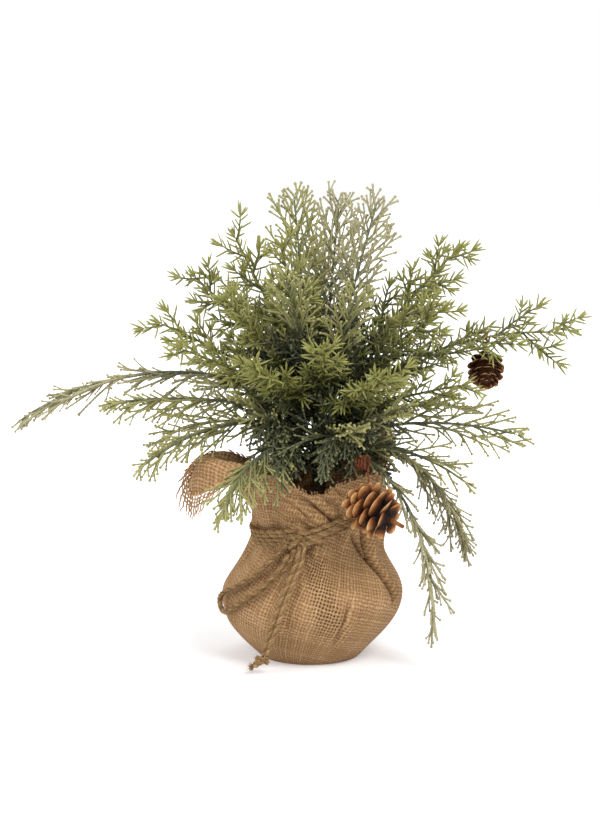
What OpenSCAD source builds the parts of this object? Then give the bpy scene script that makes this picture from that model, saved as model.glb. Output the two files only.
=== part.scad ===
/* [Burlap] */
// Radius of the flat base that the tree stands on
base_r = 30; // [24:1:34]
// Largest radius of the round sack
sack_r = 57; // [52:1:64]
// Height of the sack's widest place
belly_z = 40; // [36:1:46]
// Radius of the gathered neck
neck_r = 38; // [34:1:42]
// Height of the twine round the neck
neck_z = 86; // [80:1:94]
// How far the neck leans to the right of the base
neck_lean = 6; // [2:1:9]
// Thickness of the burlap
cloth_t = 1.2; // [0.8:0.1:1.6]
// Depth of the gathers at the neck
gather_depth = 1.4; // [0.6:0.2:2]
// Length of cloth above the tie
collar_len = 36; // [32:1:40]
// Extra length of the lapel that is folded out on the left
lapel_len = 66; // [52:1:72]
// Extra length of the flap behind on the right
flap_len = 26; // [16:1:32]
// Direction that the lapel points in, from the right and round by the back
lapel_way = 206; // [196:2:214]
// Direction of the flap
flap_way = 42; // [36:2:48]
// Direction of the raised fold in front
front_way = 255; // [245:5:265]

/* [Pot and ballast] */
// Wall of the plastic liner pot
pot_wall = 1.6; // [1.2:0.1:2.4]
// Height of the pot's rim above the table
pot_h = 60; // [52:1:66]
// Height of the ballast's top above the table
ballast_z = 48; // [36:1:50]

/* [Trunk] */
// Radius of the wire-cored trunk
trunk_r = 4; // [3:0.25:5]
// Height of the trunk's top
trunk_top = 182; // [178:1:190]
// Thickness of the floral tape round the trunk
tape_t = 1; // [0.6:0.1:1.4]
// Height at which the tape starts
tape_z = 112; // [104:1:118]

/* [Sprays] */
// Length of the longest spray; the others keep their share of it
longest = 205; // [190:1:220]
// Radius of a spray's stem where it leaves the tape
stem_r = 1.2; // [0.9:0.1:1.4]
// Radius of a spray's stem at its tip
tip_r = 0.7; // [0.5:0.1:0.9]
// Radius of the needles' body round a needle stem
clad_r = 2.6; // [2:0.1:3]
// Thickness of a cedar twig
frond_t = 1.6; // [1.2:0.1:2]
// Angle at which cedar twigs stand out of their spray's flat face
twig_lift = 6; // [2:1:8]

/* [Cones] */
// Length of the front cone
front_cone_len = 38; // [34:1:40]
// Radius of the front cone over its open scales
front_cone_r = 15; // [13:0.5:16]
// Length of the hanging cone
small_cone_len = 25; // [22:1:28]
// Radius of the hanging cone
small_cone_r = 11.5; // [10:0.5:12.5]
// Radius of the brown wire that holds the cones
wire_r = 0.6; // [0.4:0.1:0.8]

/* [Twine] */
// Diameter of one strand of twine
twine_d = 2.6; // [2:0.2:3]
// Number of turns round the neck
turns = 4; // [3:1:5]
// Tilt of the turns, higher on the right
turn_tilt = 8; // [4:1:10]

/* [Hidden] */
// Gap between pieces that lie on each other
fit = 0.2;
// Gap between a spray's foot and the tape
foot_gap = 0.35;
// Gap round the ballast, which shrinks as it sets
pour_gap = 0.6;
// Gap between the twine's turns and the gathered cloth
turn_gap = 2.4;
// Sides of the round surfaces
$fn = 48;

// Burlap: points round it, spread of a fold, rings below the tie and above it, gathers
around = 48;
fold_spread = 30;
sack_rings = 7;
collar_rings = 8;
gathers = 12;

trunk_x = neck_lean;
tape_r = trunk_r + fit / 2 + tape_t;
ballast_foot = cloth_t + fit + pot_wall + fit;
// Cement left under the trunk's socket
socket_floor = 6;

// Each spray: name, kind, foot as a percentage of the way up the tape, azimuth, elevation at the
// foot, length as a percentage of the longest spray, droop and where it gathers (1 even, over 1
// near the tip), roll of the flat face, longest twig as a share of the length, number of twigs
SPRAYS = [
    ["cedar_top_back", "cedar", 89, 70, 76, 58, 2, 1, -20, 0.34, 18],
    ["cedar_top_right", "cedar", 89, -34, 74, 60, 2, 1, 60, 0.3, 18],
    ["cedar_top_left", "cedar", 93, 141, 83, 58, 0, 1, 60, 0.3, 16],
    ["cedar_right", "cedar", 40, -12, 20, 60, 34, 1, 80, 0.32, 16],
    ["cedar_right_low", "cedar", 31, -25, 16, 48, 50, 1, 60, 0.3, 14],
    ["cedar_right_droop", "cedar", 29, -6, 40, 62, 122, 0.6, 40, 0.2, 14],
    ["cedar_right_hang", "cedar", 26, -34, 70, 76, 165, 0.35, 0, 0.12, 16],
    ["cedar_left_long", "cedar", 66, 172, 32, 100, 68, 0.9, 15, 0.17, 22],
    ["cedar_left", "cedar", 57, -170, 20, 64, 28, 1, 60, 0.25, 16],
    ["cedar_left_low", "cedar", 46, -154, 23, 60, 60, 1, 62, 0.26, 16],
    ["cedar_front_left", "cedar", 80, -112, 58, 47, 0, 1, 0, 0.3, 12],
    ["cedar_front_right", "cedar", 77, -68, 56, 44, 4, 1, 0, 0.3, 12],
    ["cedar_front_low", "cedar", 23, -122, 35, 55, 86, 1, 0, 0.24, 12],
    ["cedar_front_short", "cedar", 29, -72, 34, 35, 30, 1, 0, 0.34, 8],
    ["cedar_centre_left", "cedar", 40, -136, 26, 37, 0, 1, 30, 0.3, 10],
    ["cedar_centre_right", "cedar", 40, -46, 24, 38, 4, 1, -30, 0.3, 10],
    ["cedar_back_high", "cedar", 80, 92, 56, 55, 8, 1, 0, 0.32, 14],
    ["cedar_back_right", "cedar", 54, 58, 24, 61, 30, 1, 30, 0.32, 14],
    ["cedar_back_left", "cedar", 57, 128, 20, 61, 34, 1, -30, 0.32, 14],
    ["cedar_back_low", "cedar", 26, 84, 22, 60, 76, 1, 0, 0.26, 12],
    ["cedar_side_right", "cedar", 37, 26, 34, 54, 54, 1, 30, 0.26, 12],
    ["cedar_side_left", "cedar", 31, 156, 30, 59, 66, 1, -30, 0.26, 12],
    ["needle_top_left", "needle", 86, 180, 65, 56, 2, 1, -80, 0.24, 8],
    ["needle_top_front", "needle", 86, -126, 70, 51, 0, 1, -40, 0.22, 8],
    ["needle_left_high", "needle", 80, 162, 46, 56, 6, 1, 90, 0.24, 8],
    ["needle_left_upper", "needle", 77, -149, 50, 47, 6, 1, 50, 0.2, 8],
    ["needle_left_mid", "needle", 74, -176, 32, 56, 8, 1, 60, 0.22, 8],
    ["needle_left_front", "needle", 69, -155, 30, 51, 10, 1, 50, 0.22, 8],
    ["needle_right_high", "needle", 83, 10, 50, 61, 6, 1, 90, 0.24, 8],
    ["needle_right_upper", "needle", 74, -24, 42, 51, 6, 1, 80, 0.26, 8],
    ["needle_right_long", "needle", 66, -4, 38, 90, 50, 1.2, -30, 0.18, 8],
    ["needle_right_mid", "needle", 57, -30, 22, 60, 12, 1, 70, 0.22, 8],
    ["needle_front", "needle", 69, -88, 38, 41, 6, 1, 0, 0.26, 8],
    ["needle_front_right", "needle", 57, -62, 28, 47, 8, 1, 0, 0.26, 8],
    ["needle_front_left", "needle", 60, -120, 32, 45, 8, 1, 0, 0.26, 8],
    ["needle_back_right", "needle", 74, 40, 40, 58, 8, 1, 0, 0.26, 8],
    ["needle_back", "needle", 66, 84, 32, 55, 8, 1, 0, 0.26, 8],
    ["needle_back_left", "needle", 74, 128, 40, 55, 6, 1, 0, 0.26, 8],
];

// Free strands of twine, from the knot outwards: angle, height as a percentage of the tie's height
// and distance off the sack
outer_way = [
    [245, 97.5, 9], [239, 90.5, 7], [233, 82.5, 4.5], [228, 75, 4.5], [221, 67.5, 4],
    [213, 61, 3], [205, 55, 2.5], [198, 50.5, 2.5], [194.5, 47.5, 2.5], [193.5, 43.5, 2.5],
    [194.5, 39.5, 2.5], [197.5, 37, 2.5], [201.5, 37, 2.5], [210, 41.5, 1.5], [221, 48.5, 1.5],
    [229, 54.5, 2], [235, 61, 3], [241, 68, 4], [246, 75, 5], [250, 83, 7], [252.5, 91, 9.5]
];
inner_way = [
    [246, 93.5, 9], [240.5, 87.5, 9], [235, 80.5, 8], [229, 73, 8], [222, 66, 7],
    [214, 59.5, 6], [208, 56.5, 5.5], [204, 54, 5.5], [201.5, 50.5, 5.5], [201, 46.5, 5.5],
    [202.5, 42.5, 5.5], [206, 40, 5.5], [211, 41, 5], [218, 46.5, 4.5], [226.5, 53.5, 5],
    [232.5, 59.5, 6], [238, 66, 7], [242.5, 73, 8], [246, 80, 9], [248, 87, 9.5]
];
left_way = [
    [255, 93, 8], [255, 82.5, 7], [253, 74.5, 5.5], [252, 67, 4.5], [250, 59.5, 2.5],
    [249, 52.5, 2.5], [248, 45, 2.5], [246, 37, 3.5], [244, 29, 6], [242, 21, 10.5],
    [240, 14, 15.5]
];
right_way = [
    [258, 95, 6.5], [259, 83, 6], [257, 75, 5.5], [255, 67.5, 4], [254, 60, 3], [252, 52.5, 2.5],
    [251, 45, 2.5], [249, 37, 4], [247, 29.5, 6.5], [245, 21.5, 11.5], [243, 14.5, 16.5]
];
knot_way = [252, 96.5, 7.8];
end_knot_way = [240, 10.5, 19];

// ---- vectors and tubes ----

function unit(v) = v / norm(v);
function sum_to(v, i) = i < 0 ? v[0] * 0 : v[i] + sum_to(v, i - 1);
function tangent(p, i) = unit(p[min(i + 1, len(p) - 1)] - p[max(i - 1, 0)]);
function square_to(v, t) = unit(v - (v * t) * t);

// One side direction for each point of a route, carried along it without a twist
function carried(p, first, i = 0) =
    i >= len(p) ? [] :
    let (s = square_to(first, tangent(p, i))) concat([s], carried(p, s, i + 1));

// Faces between equal rings of points, with both ends closed
function ring_faces(rings, n) = concat(
    [[for (k = [0:n - 1]) k]],
    [for (i = [0:rings - 2], k = [0:n - 1])
        [i * n + k, (i + 1) * n + k, (i + 1) * n + (k + 1) % n, i * n + (k + 1) % n]],
    [[for (k = [n - 1:-1:0]) (rings - 1) * n + k]]
);

// A tube along a route, with a radius for each point
module tube(route, radii, first, sides) {
    across = carried(route, first);
    points = [for (i = [0:len(route) - 1], k = [0:sides - 1])
        let (t = tangent(route, i), a = k * 360 / sides)
        route[i] + radii[i] * (cos(a) * across[i] + sin(a) * cross(t, across[i]))];
    polyhedron(points, ring_faces(len(route), sides), convexity = 4);
}

function mix(a, b, t) = a + (b - a) * t;

// ---- burlap ----

// How near an angle is to the middle of a fold, from 1 down to 0
function fold(a, middle, width) =
    exp(-pow((((a - middle + 540) % 360) - 180) / width, 2));

function sack_radius(z) = z < belly_z
    ? base_r + (sack_r - base_r) * sin(90 * z / belly_z)
    : neck_r + (sack_r - neck_r)
        * pow((1 + cos(180 * (z - belly_z) / (neck_z - belly_z))) / 2, 1.5);
function lean(z) = neck_lean * pow(min(z / neck_z, 1), 1.5);
// A place off the sack: angle, height as a percentage of the tie's height, distance
function by_sack(q) =
    let (z = neck_z * q[1] / 100, r = sack_radius(z) + twine_d / 2 + q[2])
    [lean(z) + r * cos(q[0]), r * sin(q[0]), z];

// Cloth above the tie, as steps that start upwards and curl outwards
function lapel(a) = fold(a, lapel_way, fold_spread);
function flap(a) = fold(a, flap_way, fold_spread);
function front_fold(a) = fold(a, front_way, fold_spread - 4);
function cloth_above(a) = collar_len + lapel_len * lapel(a) + flap_len * flap(a)
    + 4 * front_fold(a);
// The lapel rises, turns over a little past halfway and hangs down outside
function turned(t) = (1 - cos(180 * min(max((t - 0.5) / 0.24, 0), 1))) / 2;
function rise_angle(a, t) =
    88 - 40 * lapel(a) - 120 * lapel(a) * turned(t) - (20 + 60 * flap(a)) * pow(t, 3);
function collar_steps(a) = [for (i = [0:collar_rings - 1])
    let (b = rise_angle(a, (i + 0.5) / collar_rings))
    cloth_above(a) / collar_rings * [cos(b), sin(b)]];
function gather(a, share) = gather_depth * share * cos(gathers * a);

// A point of the cloth: ring, angle round it and depth below the outer face
function sack_point(ring, a, depth) =
    let (z = neck_z * ring / sack_rings, r = sack_radius(z) + gather(a, pow(z / neck_z, 3)))
    [lean(z) + (r - depth) * cos(a), (r - depth) * sin(a), ring == 0 ? depth : z];
function collar_point(ring, a, depth) =
    let (p = [neck_r + gather(a, 1), neck_z] + sum_to(collar_steps(a), ring - 1),
         b = rise_angle(a, ring / collar_rings), q = p - depth * [sin(b), -cos(b)])
    [neck_lean + q[0] * cos(a), q[0] * sin(a), q[1]];
function cloth_ring(i, depth) = [for (k = [0:around - 1])
    let (a = k * 360 / around)
    i <= sack_rings ? sack_point(i, a, depth) : collar_point(i - sack_rings, a, depth)];

module burlap_wrap() {
    last = sack_rings + collar_rings;
    outer = [for (i = [0:last]) each cloth_ring(i, 0)];
    inner = [for (i = [last:-1:0]) each cloth_ring(i, cloth_t)];
    color("tan")
        polyhedron(concat(outer, inner), ring_faces(2 * (last + 1), around), convexity = 8);
}

// ---- pot, ballast and trunk ----

pot_x = lean(pot_h) / 2;
function pot_radius(z) = sack_radius(z) - cloth_t - gather_depth - pot_x - 0.8;
function pot_heights(low, high) = [for (i = [0:8]) low + (high - low) * i / 8];

module liner_pot() {
    foot = cloth_t + fit;
    outside = [for (z = pot_heights(foot, pot_h)) [pot_radius(z), z]];
    inside = [for (z = pot_heights(foot + pot_wall, pot_h)) [pot_radius(z) - pot_wall, z]];
    color("saddlebrown") translate([pot_x, 0, 0]) rotate_extrude()
        polygon(concat([[0, foot]], outside, [for (i = [8:-1:0]) inside[i]],
            [[0, foot + pot_wall]]));
}

module ballast() {
    side = [for (z = pot_heights(ballast_foot, ballast_z)) [pot_radius(z) - pot_wall - pour_gap, z]];
    color("gainsboro") difference() {
        translate([pot_x, 0, 0])
            rotate_extrude() polygon(concat([[0, ballast_foot]], side, [[0, ballast_z]]));
        translate([trunk_x, 0, ballast_foot + socket_floor])
            cylinder(h = ballast_z, r = trunk_r + fit / 2);
    }
}

module trunk() {
    foot = ballast_foot + socket_floor + fit;
    color("sienna") translate([trunk_x, 0, foot]) cylinder(h = trunk_top - foot, r = trunk_r);
}

module stem_tape() {
    color("darkolivegreen") translate([trunk_x, 0, tape_z]) difference() {
        cylinder(h = trunk_top - tape_z + 2, r = tape_r);
        translate([0, 0, -1])
            cylinder(h = trunk_top - tape_z + 1 + fit, r = trunk_r + fit / 2);
    }
}

// ---- sprays ----

stem_steps = 7;
function bend_at(s, t) = s[4] - s[6] * pow(t, s[7]);
function size_of(s) = longest * s[5] / 100;
// The foot's slanted end stands just off the tape
function foot_of(s) =
    let (r = tape_r + foot_gap + stem_r * abs(sin(bend_at(s, 0.5 / stem_steps))))
    [trunk_x + r * cos(s[3]), r * sin(s[3]), mix(tape_z, trunk_top, s[2] / 100)];
// Along, up and across directions of the stem at a share t of its length
function along(s, t) = let (b = bend_at(s, t)) [cos(b) * cos(s[3]), cos(b) * sin(s[3]), sin(b)];
function above(s, t) = let (b = bend_at(s, t)) [-sin(b) * cos(s[3]), -sin(b) * sin(s[3]), cos(b)];
function beside(s) = [sin(s[3]), -cos(s[3]), 0];
function spread(s, t) = cos(s[8]) * beside(s) + sin(s[8]) * above(s, t);
function facing(s, t) = cross(along(s, t), spread(s, t));
// The stem bends in an upright plane, so a point of it is a sum of short straight steps
sum_steps = 12;
function stem_at(s, t) = foot_of(s) + size_of(s) * t / sum_steps
    * sum_to([for (j = [0:sum_steps - 1]) along(s, t * (j + 0.5) / sum_steps)], sum_steps - 1);

bare = 0.2;
function stem_radius(s, t) = s[1] == "needle" && t > bare * 0.7
    ? clad_r * (1 - 0.6 * pow(t, 4))
    : stem_r + (tip_r - stem_r) * t;
function twig_share(s, t) = s[1] == "cedar"
    ? sin(180 * (0.16 + 0.72 * (t - bare) / (1 - bare)))
    : 1 - 0.55 * (t - bare) / (1 - bare);

// A flat twig along +X, pointed at both ends: two four-sided cones, foot to foot
module twig(size, wide, thick) {
    belly = size * 0.45;
    translate([belly, 0, 0]) scale([1, 1, thick / wide]) hull() {
        rotate([0, 90, 0]) cylinder(h = size - belly, r1 = wide / 2, r2 = 0, $fn = 4);
        rotate([0, -90, 0]) cylinder(h = belly, r1 = wide / 2, r2 = 0, $fn = 4);
    }
}

module spray(s) {
    steps = [for (i = [0:stem_steps]) i / stem_steps];
    color(s[1] == "cedar" ? "darkseagreen" : "olivedrab") {
        tube([for (t = steps) stem_at(s, t)], [for (t = steps) stem_radius(s, t)], beside(s), 6);
        for (i = [0:s[10] - 1]) {
            t = bare + (0.96 - bare) * i / (s[10] - 1);
            way = i % 2 == 0 ? 1 : -1;
            lean_out = s[1] == "cedar" ? 36 : 46;
            size = size_of(s) * s[9] * twig_share(s, t);
            // Cedar twigs stand a little out of the flat, two one way and two the other
            lift = s[1] == "cedar" ? (i % 4 < 2 ? twig_lift : -twig_lift) : 0;
            flat = cos(lean_out) * along(s, t) + way * sin(lean_out) * spread(s, t);
            y = cross(facing(s, t), flat);
            x = cos(lift) * flat + sin(lift) * facing(s, t);
            z = cross(x, y);
            p = stem_at(s, t);
            multmatrix([[x[0], y[0], z[0], p[0]], [x[1], y[1], z[1], p[1]], [x[2], y[2], z[2], p[2]]])
                twig(size, s[1] == "cedar" ? size * 0.3 : clad_r * 2,
                    s[1] == "cedar" ? frond_t : clad_r * 1.4);
        }
    }
}

// ---- cones ----

golden = 137.5;
// Scales on a spiral round +Z, from the stalk end at 0 to the tip
module cone(size, radius, scales, open) {
    hull() {
        translate([0, 0, radius * 0.5 + 0.2]) sphere(radius * 0.5, $fn = 12);
        translate([0, 0, size * 0.72]) sphere(radius * 0.28, $fn = 12);
    }
    for (i = [0:scales - 1]) {
        t = (i + 0.5) / scales;
        reach = radius * sqrt(sin(180 * (0.1 + 0.84 * t)));
        rotate([0, 0, golden * i]) translate([0, 0, size * (0.06 + 0.8 * t)])
            rotate([0, open - 60 * t, 0]) hull() {
                translate([radius * 0.2, 0, 0]) cube([0.2, 1.6, 1], center = true);
                translate([reach * 0.72, 0, 0]) cube([0.6, radius * 0.62, 0.8], center = true);
                translate([reach, 0, 0.4]) cube([0.3, radius * 0.2, 0.6], center = true);
            }
    }
}

// The front cone lies on its side outside the collar, with its stalk to the right
front_cone_at = [neck_lean + front_cone_r * 2, -neck_r - front_cone_r - 4,
    neck_z + front_cone_r * 4 / 3];
front_cone_turn = [0, -78, -24];
stalk_len = 8;
module front_cone() {
    color("peru") translate(front_cone_at) rotate(front_cone_turn)
        translate([0, 0, -front_cone_len / 2]) {
            cone(front_cone_len, front_cone_r, 32, 0);
            translate([0, 0, -stalk_len]) cylinder(h = stalk_len + 4, r = 1.4, $fn = 8);
        }
}

// Wire from the tape over the collar's rim to the cone
pick_way = -50;
pick_foot = [trunk_x + (tape_r + foot_gap) * cos(pick_way),
    (tape_r + foot_gap) * sin(pick_way), tape_z + 14];
pick_rim = [neck_lean + (neck_r + 1.5) * cos(pick_way - 7), (neck_r + 1.5) * sin(pick_way - 7),
    neck_z + collar_len + 5];
pick_end = front_cone_at + [0, 4, 6];
pick_route = [
    pick_foot,
    mix(pick_foot, pick_rim, 0.33) + [0, 0, 1],
    mix(pick_foot, pick_rim, 0.66) + [0, 0, 1.5],
    pick_rim,
    mix(pick_rim, pick_end, 0.35) + [0, 0, 1.5],
    mix(pick_rim, pick_end, 0.7) + [0, 0, 1.5],
    pick_end
];
module front_cone_pick() {
    color("saddlebrown")
        tube(pick_route, [for (p = pick_route) wire_r], [0, 0, 1], 8);
}

// The hanging cone's wire rings the stem of one spray
hang_spray = [for (s = SPRAYS) if (s[0] == "needle_right_long") s][0];
hang_share = 0.6;
hang_at = stem_at(hang_spray, hang_share);
ring_r = clad_r + wire_r + 0.8;
wire_drop = 4;
module cone_hanger() {
    color("saddlebrown") translate(hang_at) {
        rotate([0, 90 - bend_at(hang_spray, hang_share), hang_spray[3]])
            rotate_extrude() translate([ring_r, 0]) circle(r = wire_r, $fn = 16);
        translate([0, 0, -ring_r - wire_drop]) cylinder(h = wire_drop, r = wire_r, $fn = 16);
    }
}

module hanging_cone() {
    color("sienna") translate(hang_at - [0, 0, ring_r + wire_drop + 0.3]) mirror([0, 0, 1])
        cone(small_cone_len, small_cone_r, 32, 10);
}

// ---- twine ----

module twine_wraps() {
    turn_r = neck_r + gather_depth + twine_d / 2 + turn_gap;
    color("burlywood") translate([neck_lean, 0, neck_z]) rotate([0, -turn_tilt, 0])
        for (i = [0:turns - 1])
            translate([0, 0, (i - (turns - 1) / 2) * (twine_d + fit / 2)])
                rotate_extrude() translate([turn_r, 0]) circle(d = twine_d, $fn = 16);
}

module lump(at, size) {
    color("burlywood") translate(at) hull()
        for (side = [-1, 1]) translate([side * size * 0.35, 0, side * size * 0.2])
            sphere(size * 0.62, $fn = 12);
}

module strand(way) {
    color("burlywood")
        tube([for (q = way) by_sack(q)], [for (q = way) twine_d / 2], [0, 0, 1], 8);
}

module twine_knot() { lump(by_sack(knot_way), twine_d * 2.2); }
module twine_end_knot() { lump(by_sack(end_knot_way), twine_d * 1.7); }
module twine_loop_outer() { strand(outer_way); }
module twine_loop_inner() { strand(inner_way); }
module twine_tail_left() { strand(left_way); }
module twine_tail_right() { strand(right_way); }

burlap_wrap();
liner_pot();
ballast();
trunk();
stem_tape();
twine_wraps();
twine_knot();
twine_loop_outer();
twine_loop_inner();
twine_tail_left();
twine_tail_right();
twine_end_knot();
front_cone();
front_cone_pick();
cone_hanger();
hanging_cone();
for (s = SPRAYS)
    spray(s);
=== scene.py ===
# Artificial tabletop tree: cedar and needle sprays in a sack of burlap that is tied with twine
import math
import random
import bmesh
import bpy
from mathutils import Matrix, Vector, noise


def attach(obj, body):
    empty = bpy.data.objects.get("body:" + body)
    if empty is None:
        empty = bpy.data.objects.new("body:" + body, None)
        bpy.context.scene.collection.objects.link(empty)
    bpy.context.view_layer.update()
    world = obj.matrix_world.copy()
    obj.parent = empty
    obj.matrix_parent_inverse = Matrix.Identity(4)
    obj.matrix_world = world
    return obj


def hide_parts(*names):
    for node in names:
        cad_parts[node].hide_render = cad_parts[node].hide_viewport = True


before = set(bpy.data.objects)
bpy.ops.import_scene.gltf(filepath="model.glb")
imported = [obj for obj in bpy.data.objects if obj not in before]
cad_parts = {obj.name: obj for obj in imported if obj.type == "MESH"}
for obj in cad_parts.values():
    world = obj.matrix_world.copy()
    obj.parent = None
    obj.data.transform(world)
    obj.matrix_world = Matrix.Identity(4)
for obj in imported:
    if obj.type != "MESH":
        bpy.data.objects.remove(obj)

for leftover in ("Cube", "Light", "Camera"):  # of Blender's own first scene
    if leftover in bpy.data.objects:
        bpy.data.objects.remove(bpy.data.objects[leftover])
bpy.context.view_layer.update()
mm = 0.001
goldenAngle = 137.5


def cosd(angle):
    return math.cos(math.radians(angle))


def sind(angle):
    return math.sin(math.radians(angle))


def mix(a, b, t):
    return a + (b - a) * t


def clamp(x, low=0, high=1):
    return min(max(x, low), high)


def ease(low, high, x):
    t = clamp((x - low) / (high - low))
    return t * t * (3 - 2 * t)


def hump(x, width):
    return math.exp(-(x / width) ** 2)


def apart(angle, middle):
    return (angle - middle + 540) % 360 - 180


def wander(x, y, z):
    return noise.noise(Vector((x, y, z)))


def scatter(dice, spread):
    return Vector([dice.gauss(0, spread) for axis in range(3)])


def turning(angle, axis, size=3):
    return Matrix.Rotation(math.radians(angle), size, axis)


def addObject(name, data):
    made = bpy.data.objects.new(name, data)
    bpy.context.scene.collection.objects.link(made)
    return made


# camera, light and floor
view = {"distance": 1.3, "elevation": 8.5, "lens": 87.7, "target": (-0.00635, 0, 0.152)}
camera = addObject("camera", bpy.data.cameras.new("camera"))
camera.data.lens, camera.data.clip_end = view["lens"], 20
towards = Vector((0, -cosd(view["elevation"]), sind(view["elevation"])))
camera.location = Vector(view["target"]) + towards * view["distance"]
camera.rotation_euler = towards.to_track_quat("Z", "Y").to_euler()
bpy.context.scene.camera = camera
bpy.context.scene.view_settings.view_transform = "Standard"


def srgb(hexText):
    # the linear colour of a hex text
    channels = [int(hexText[i:i + 2], 16) / 255 for i in (0, 2, 4)]
    return tuple(c / 12.92 if c <= 0.04045 else ((c + 0.055) / 1.055) ** 2.4 for c in channels) + (1,)


def addNode(tree, kind, inputs, output=0, stops=(), **settings):
    # adds a node with its settings and links and gives one of its outputs; a text among its inputs is a hex
    # colour, and stops are the places and hex colours of a ramp
    node = tree.nodes.new("ShaderNode" + kind)
    for name, value in settings.items():
        setattr(node, name, value)
    for name, value in inputs.items():
        if isinstance(value, bpy.types.NodeSocket):
            tree.links.new(value, node.inputs[name])
        else:
            node.inputs[name].default_value = srgb(value) if isinstance(value, str) else value
    if stops:
        elements = node.color_ramp.elements
        while len(elements) < len(stops):
            elements.new(0.5)
        for element, (place, colour) in zip(elements, stops):
            element.position = place
            element.color = srgb(colour)
    return node.outputs[output] if node.outputs else node


def newMaterial(name, roughness):
    material = bpy.data.materials.new(name)
    material.use_nodes = True
    tree = material.node_tree
    tree.nodes.clear()
    shader = addNode(tree, "BsdfPrincipled", {"Roughness": roughness, "IOR": 1.5})
    addNode(tree, "OutputMaterial", {"Surface": shader})
    return material, tree, shader.node.inputs


def readings(tree):
    # what a pattern follows: the place on a piece, and the three numbers that its growth attribute holds
    growth = addNode(tree, "Attribute", {}, "Vector", attribute_name="growth")
    place = addNode(tree, "TexCoord", {}, "Object")
    return [place] + [addNode(tree, "SeparateXYZ", {0: growth}, i) for i in range(3)]


def paint(tree, shader, colour, height, strength, depth):
    # gives a shader its colour and its bump, whose depth is in mm
    tree.links.new(colour, shader["Base Color"])
    bump = addNode(tree, "Bump", {"Height": height, "Strength": strength, "Distance": depth * mm})
    tree.links.new(bump, shader["Normal"])


studio = {"key": 17.0, "fill": 6.5, "top": 7.0, "sky": 0.55, "floorColour": "F4F5F8", "floorSize": 6}
lamps = [("key", (0.7, -1.05, 1.4), (0, 0, 0.14), 0.7), ("fill", (-1.2, -0.8, 0.6), (0, 0, 0.14), 0.9),
         ("top", (0.1, 0.7, 1.5), (0, 0, 0.1), 0.9)]  # name, place, target, size
for name, place, target, size in lamps:
    lamp = addObject(name + "Lamp", bpy.data.lights.new(name + "Lamp", "AREA"))
    lamp.data.size, lamp.data.energy = size, studio[name]
    lamp.location = place
    lamp.rotation_euler = (Vector(place) - Vector(target)).to_track_quat("Z", "Y").to_euler()

# the sky is plain white where it is seen, and softer where it lights the tree
world = bpy.data.worlds.new("studio")
bpy.context.scene.world = world
world.use_nodes = True
sky = world.node_tree
sky.nodes.clear()
seen = addNode(sky, "Math", {0: addNode(sky, "LightPath", {}, "Is Camera Ray"),
                             1: addNode(sky, "LightPath", {}, "Is Glossy Ray")}, operation="MAXIMUM")
plain, white = (addNode(sky, "Background", {"Color": "FFFFFF", "Strength": strength})
                for strength in (studio["sky"], 1.0))
addNode(sky, "OutputWorld", {"Surface": addNode(sky, "MixShader", {0: seen, 1: plain, 2: white})})

# a white sheet of paper under the tree: bright to the camera, and it keeps the tree's shadow
paper, paperTree, paperShader = newMaterial("white studio paper", 0.9)
paperPlace = addNode(paperTree, "TexCoord", {}, "Object")
away = addNode(paperTree, "VectorMath", {0: paperPlace}, "Value", operation="LENGTH")
fade = addNode(paperTree, "MapRange", {"Value": away, "From Min": 0.25, "From Max": 0.8, "To Min": 0.3})
toCamera = addNode(paperTree, "LightPath", {}, "Is Camera Ray")
glow = addNode(paperTree, "Math", {0: toCamera, 1: fade}, operation="MULTIPLY")
paperTree.links.new(glow, paperShader["Emission Strength"])
paperShader["Emission Color"].default_value = srgb("FFFFFF")
paperShader["Base Color"].default_value = srgb(studio["floorColour"])
floorMesh = bmesh.new()
bmesh.ops.create_grid(floorMesh, x_segments=1, y_segments=1, size=studio["floorSize"])
floorData = bpy.data.meshes.new("floor")
floorMesh.to_mesh(floorData)
floorData.materials.append(paper)
addObject("floor", floorData)
print("studio done")


# the sack that all the cloth and twine follows: sizes in mm, ways in degrees round it
sack = {"baseRadius": 30, "bellyRadius": 57, "bellyHeight": 40, "neckRadius": 38, "neckHeight": 86,
        "neckLean": 6, "collar": 36, "lapel": 66, "flap": 26, "lapelWay": 206, "flapWay": 42, "frontWay": 260,
        "frontDip": 13}


def sackRadius(z):
    if z < sack["bellyHeight"]:
        return mix(sack["baseRadius"], sack["bellyRadius"], sind(90 * z / sack["bellyHeight"]))
    fall = (1 + cosd(180 * (z - sack["bellyHeight"]) / (sack["neckHeight"] - sack["bellyHeight"]))) / 2
    return mix(sack["neckRadius"], sack["bellyRadius"], fall ** 1.5)


def leanAt(z):
    return sack["neckLean"] * min(z / sack["neckHeight"], 1) ** 1.5


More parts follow.
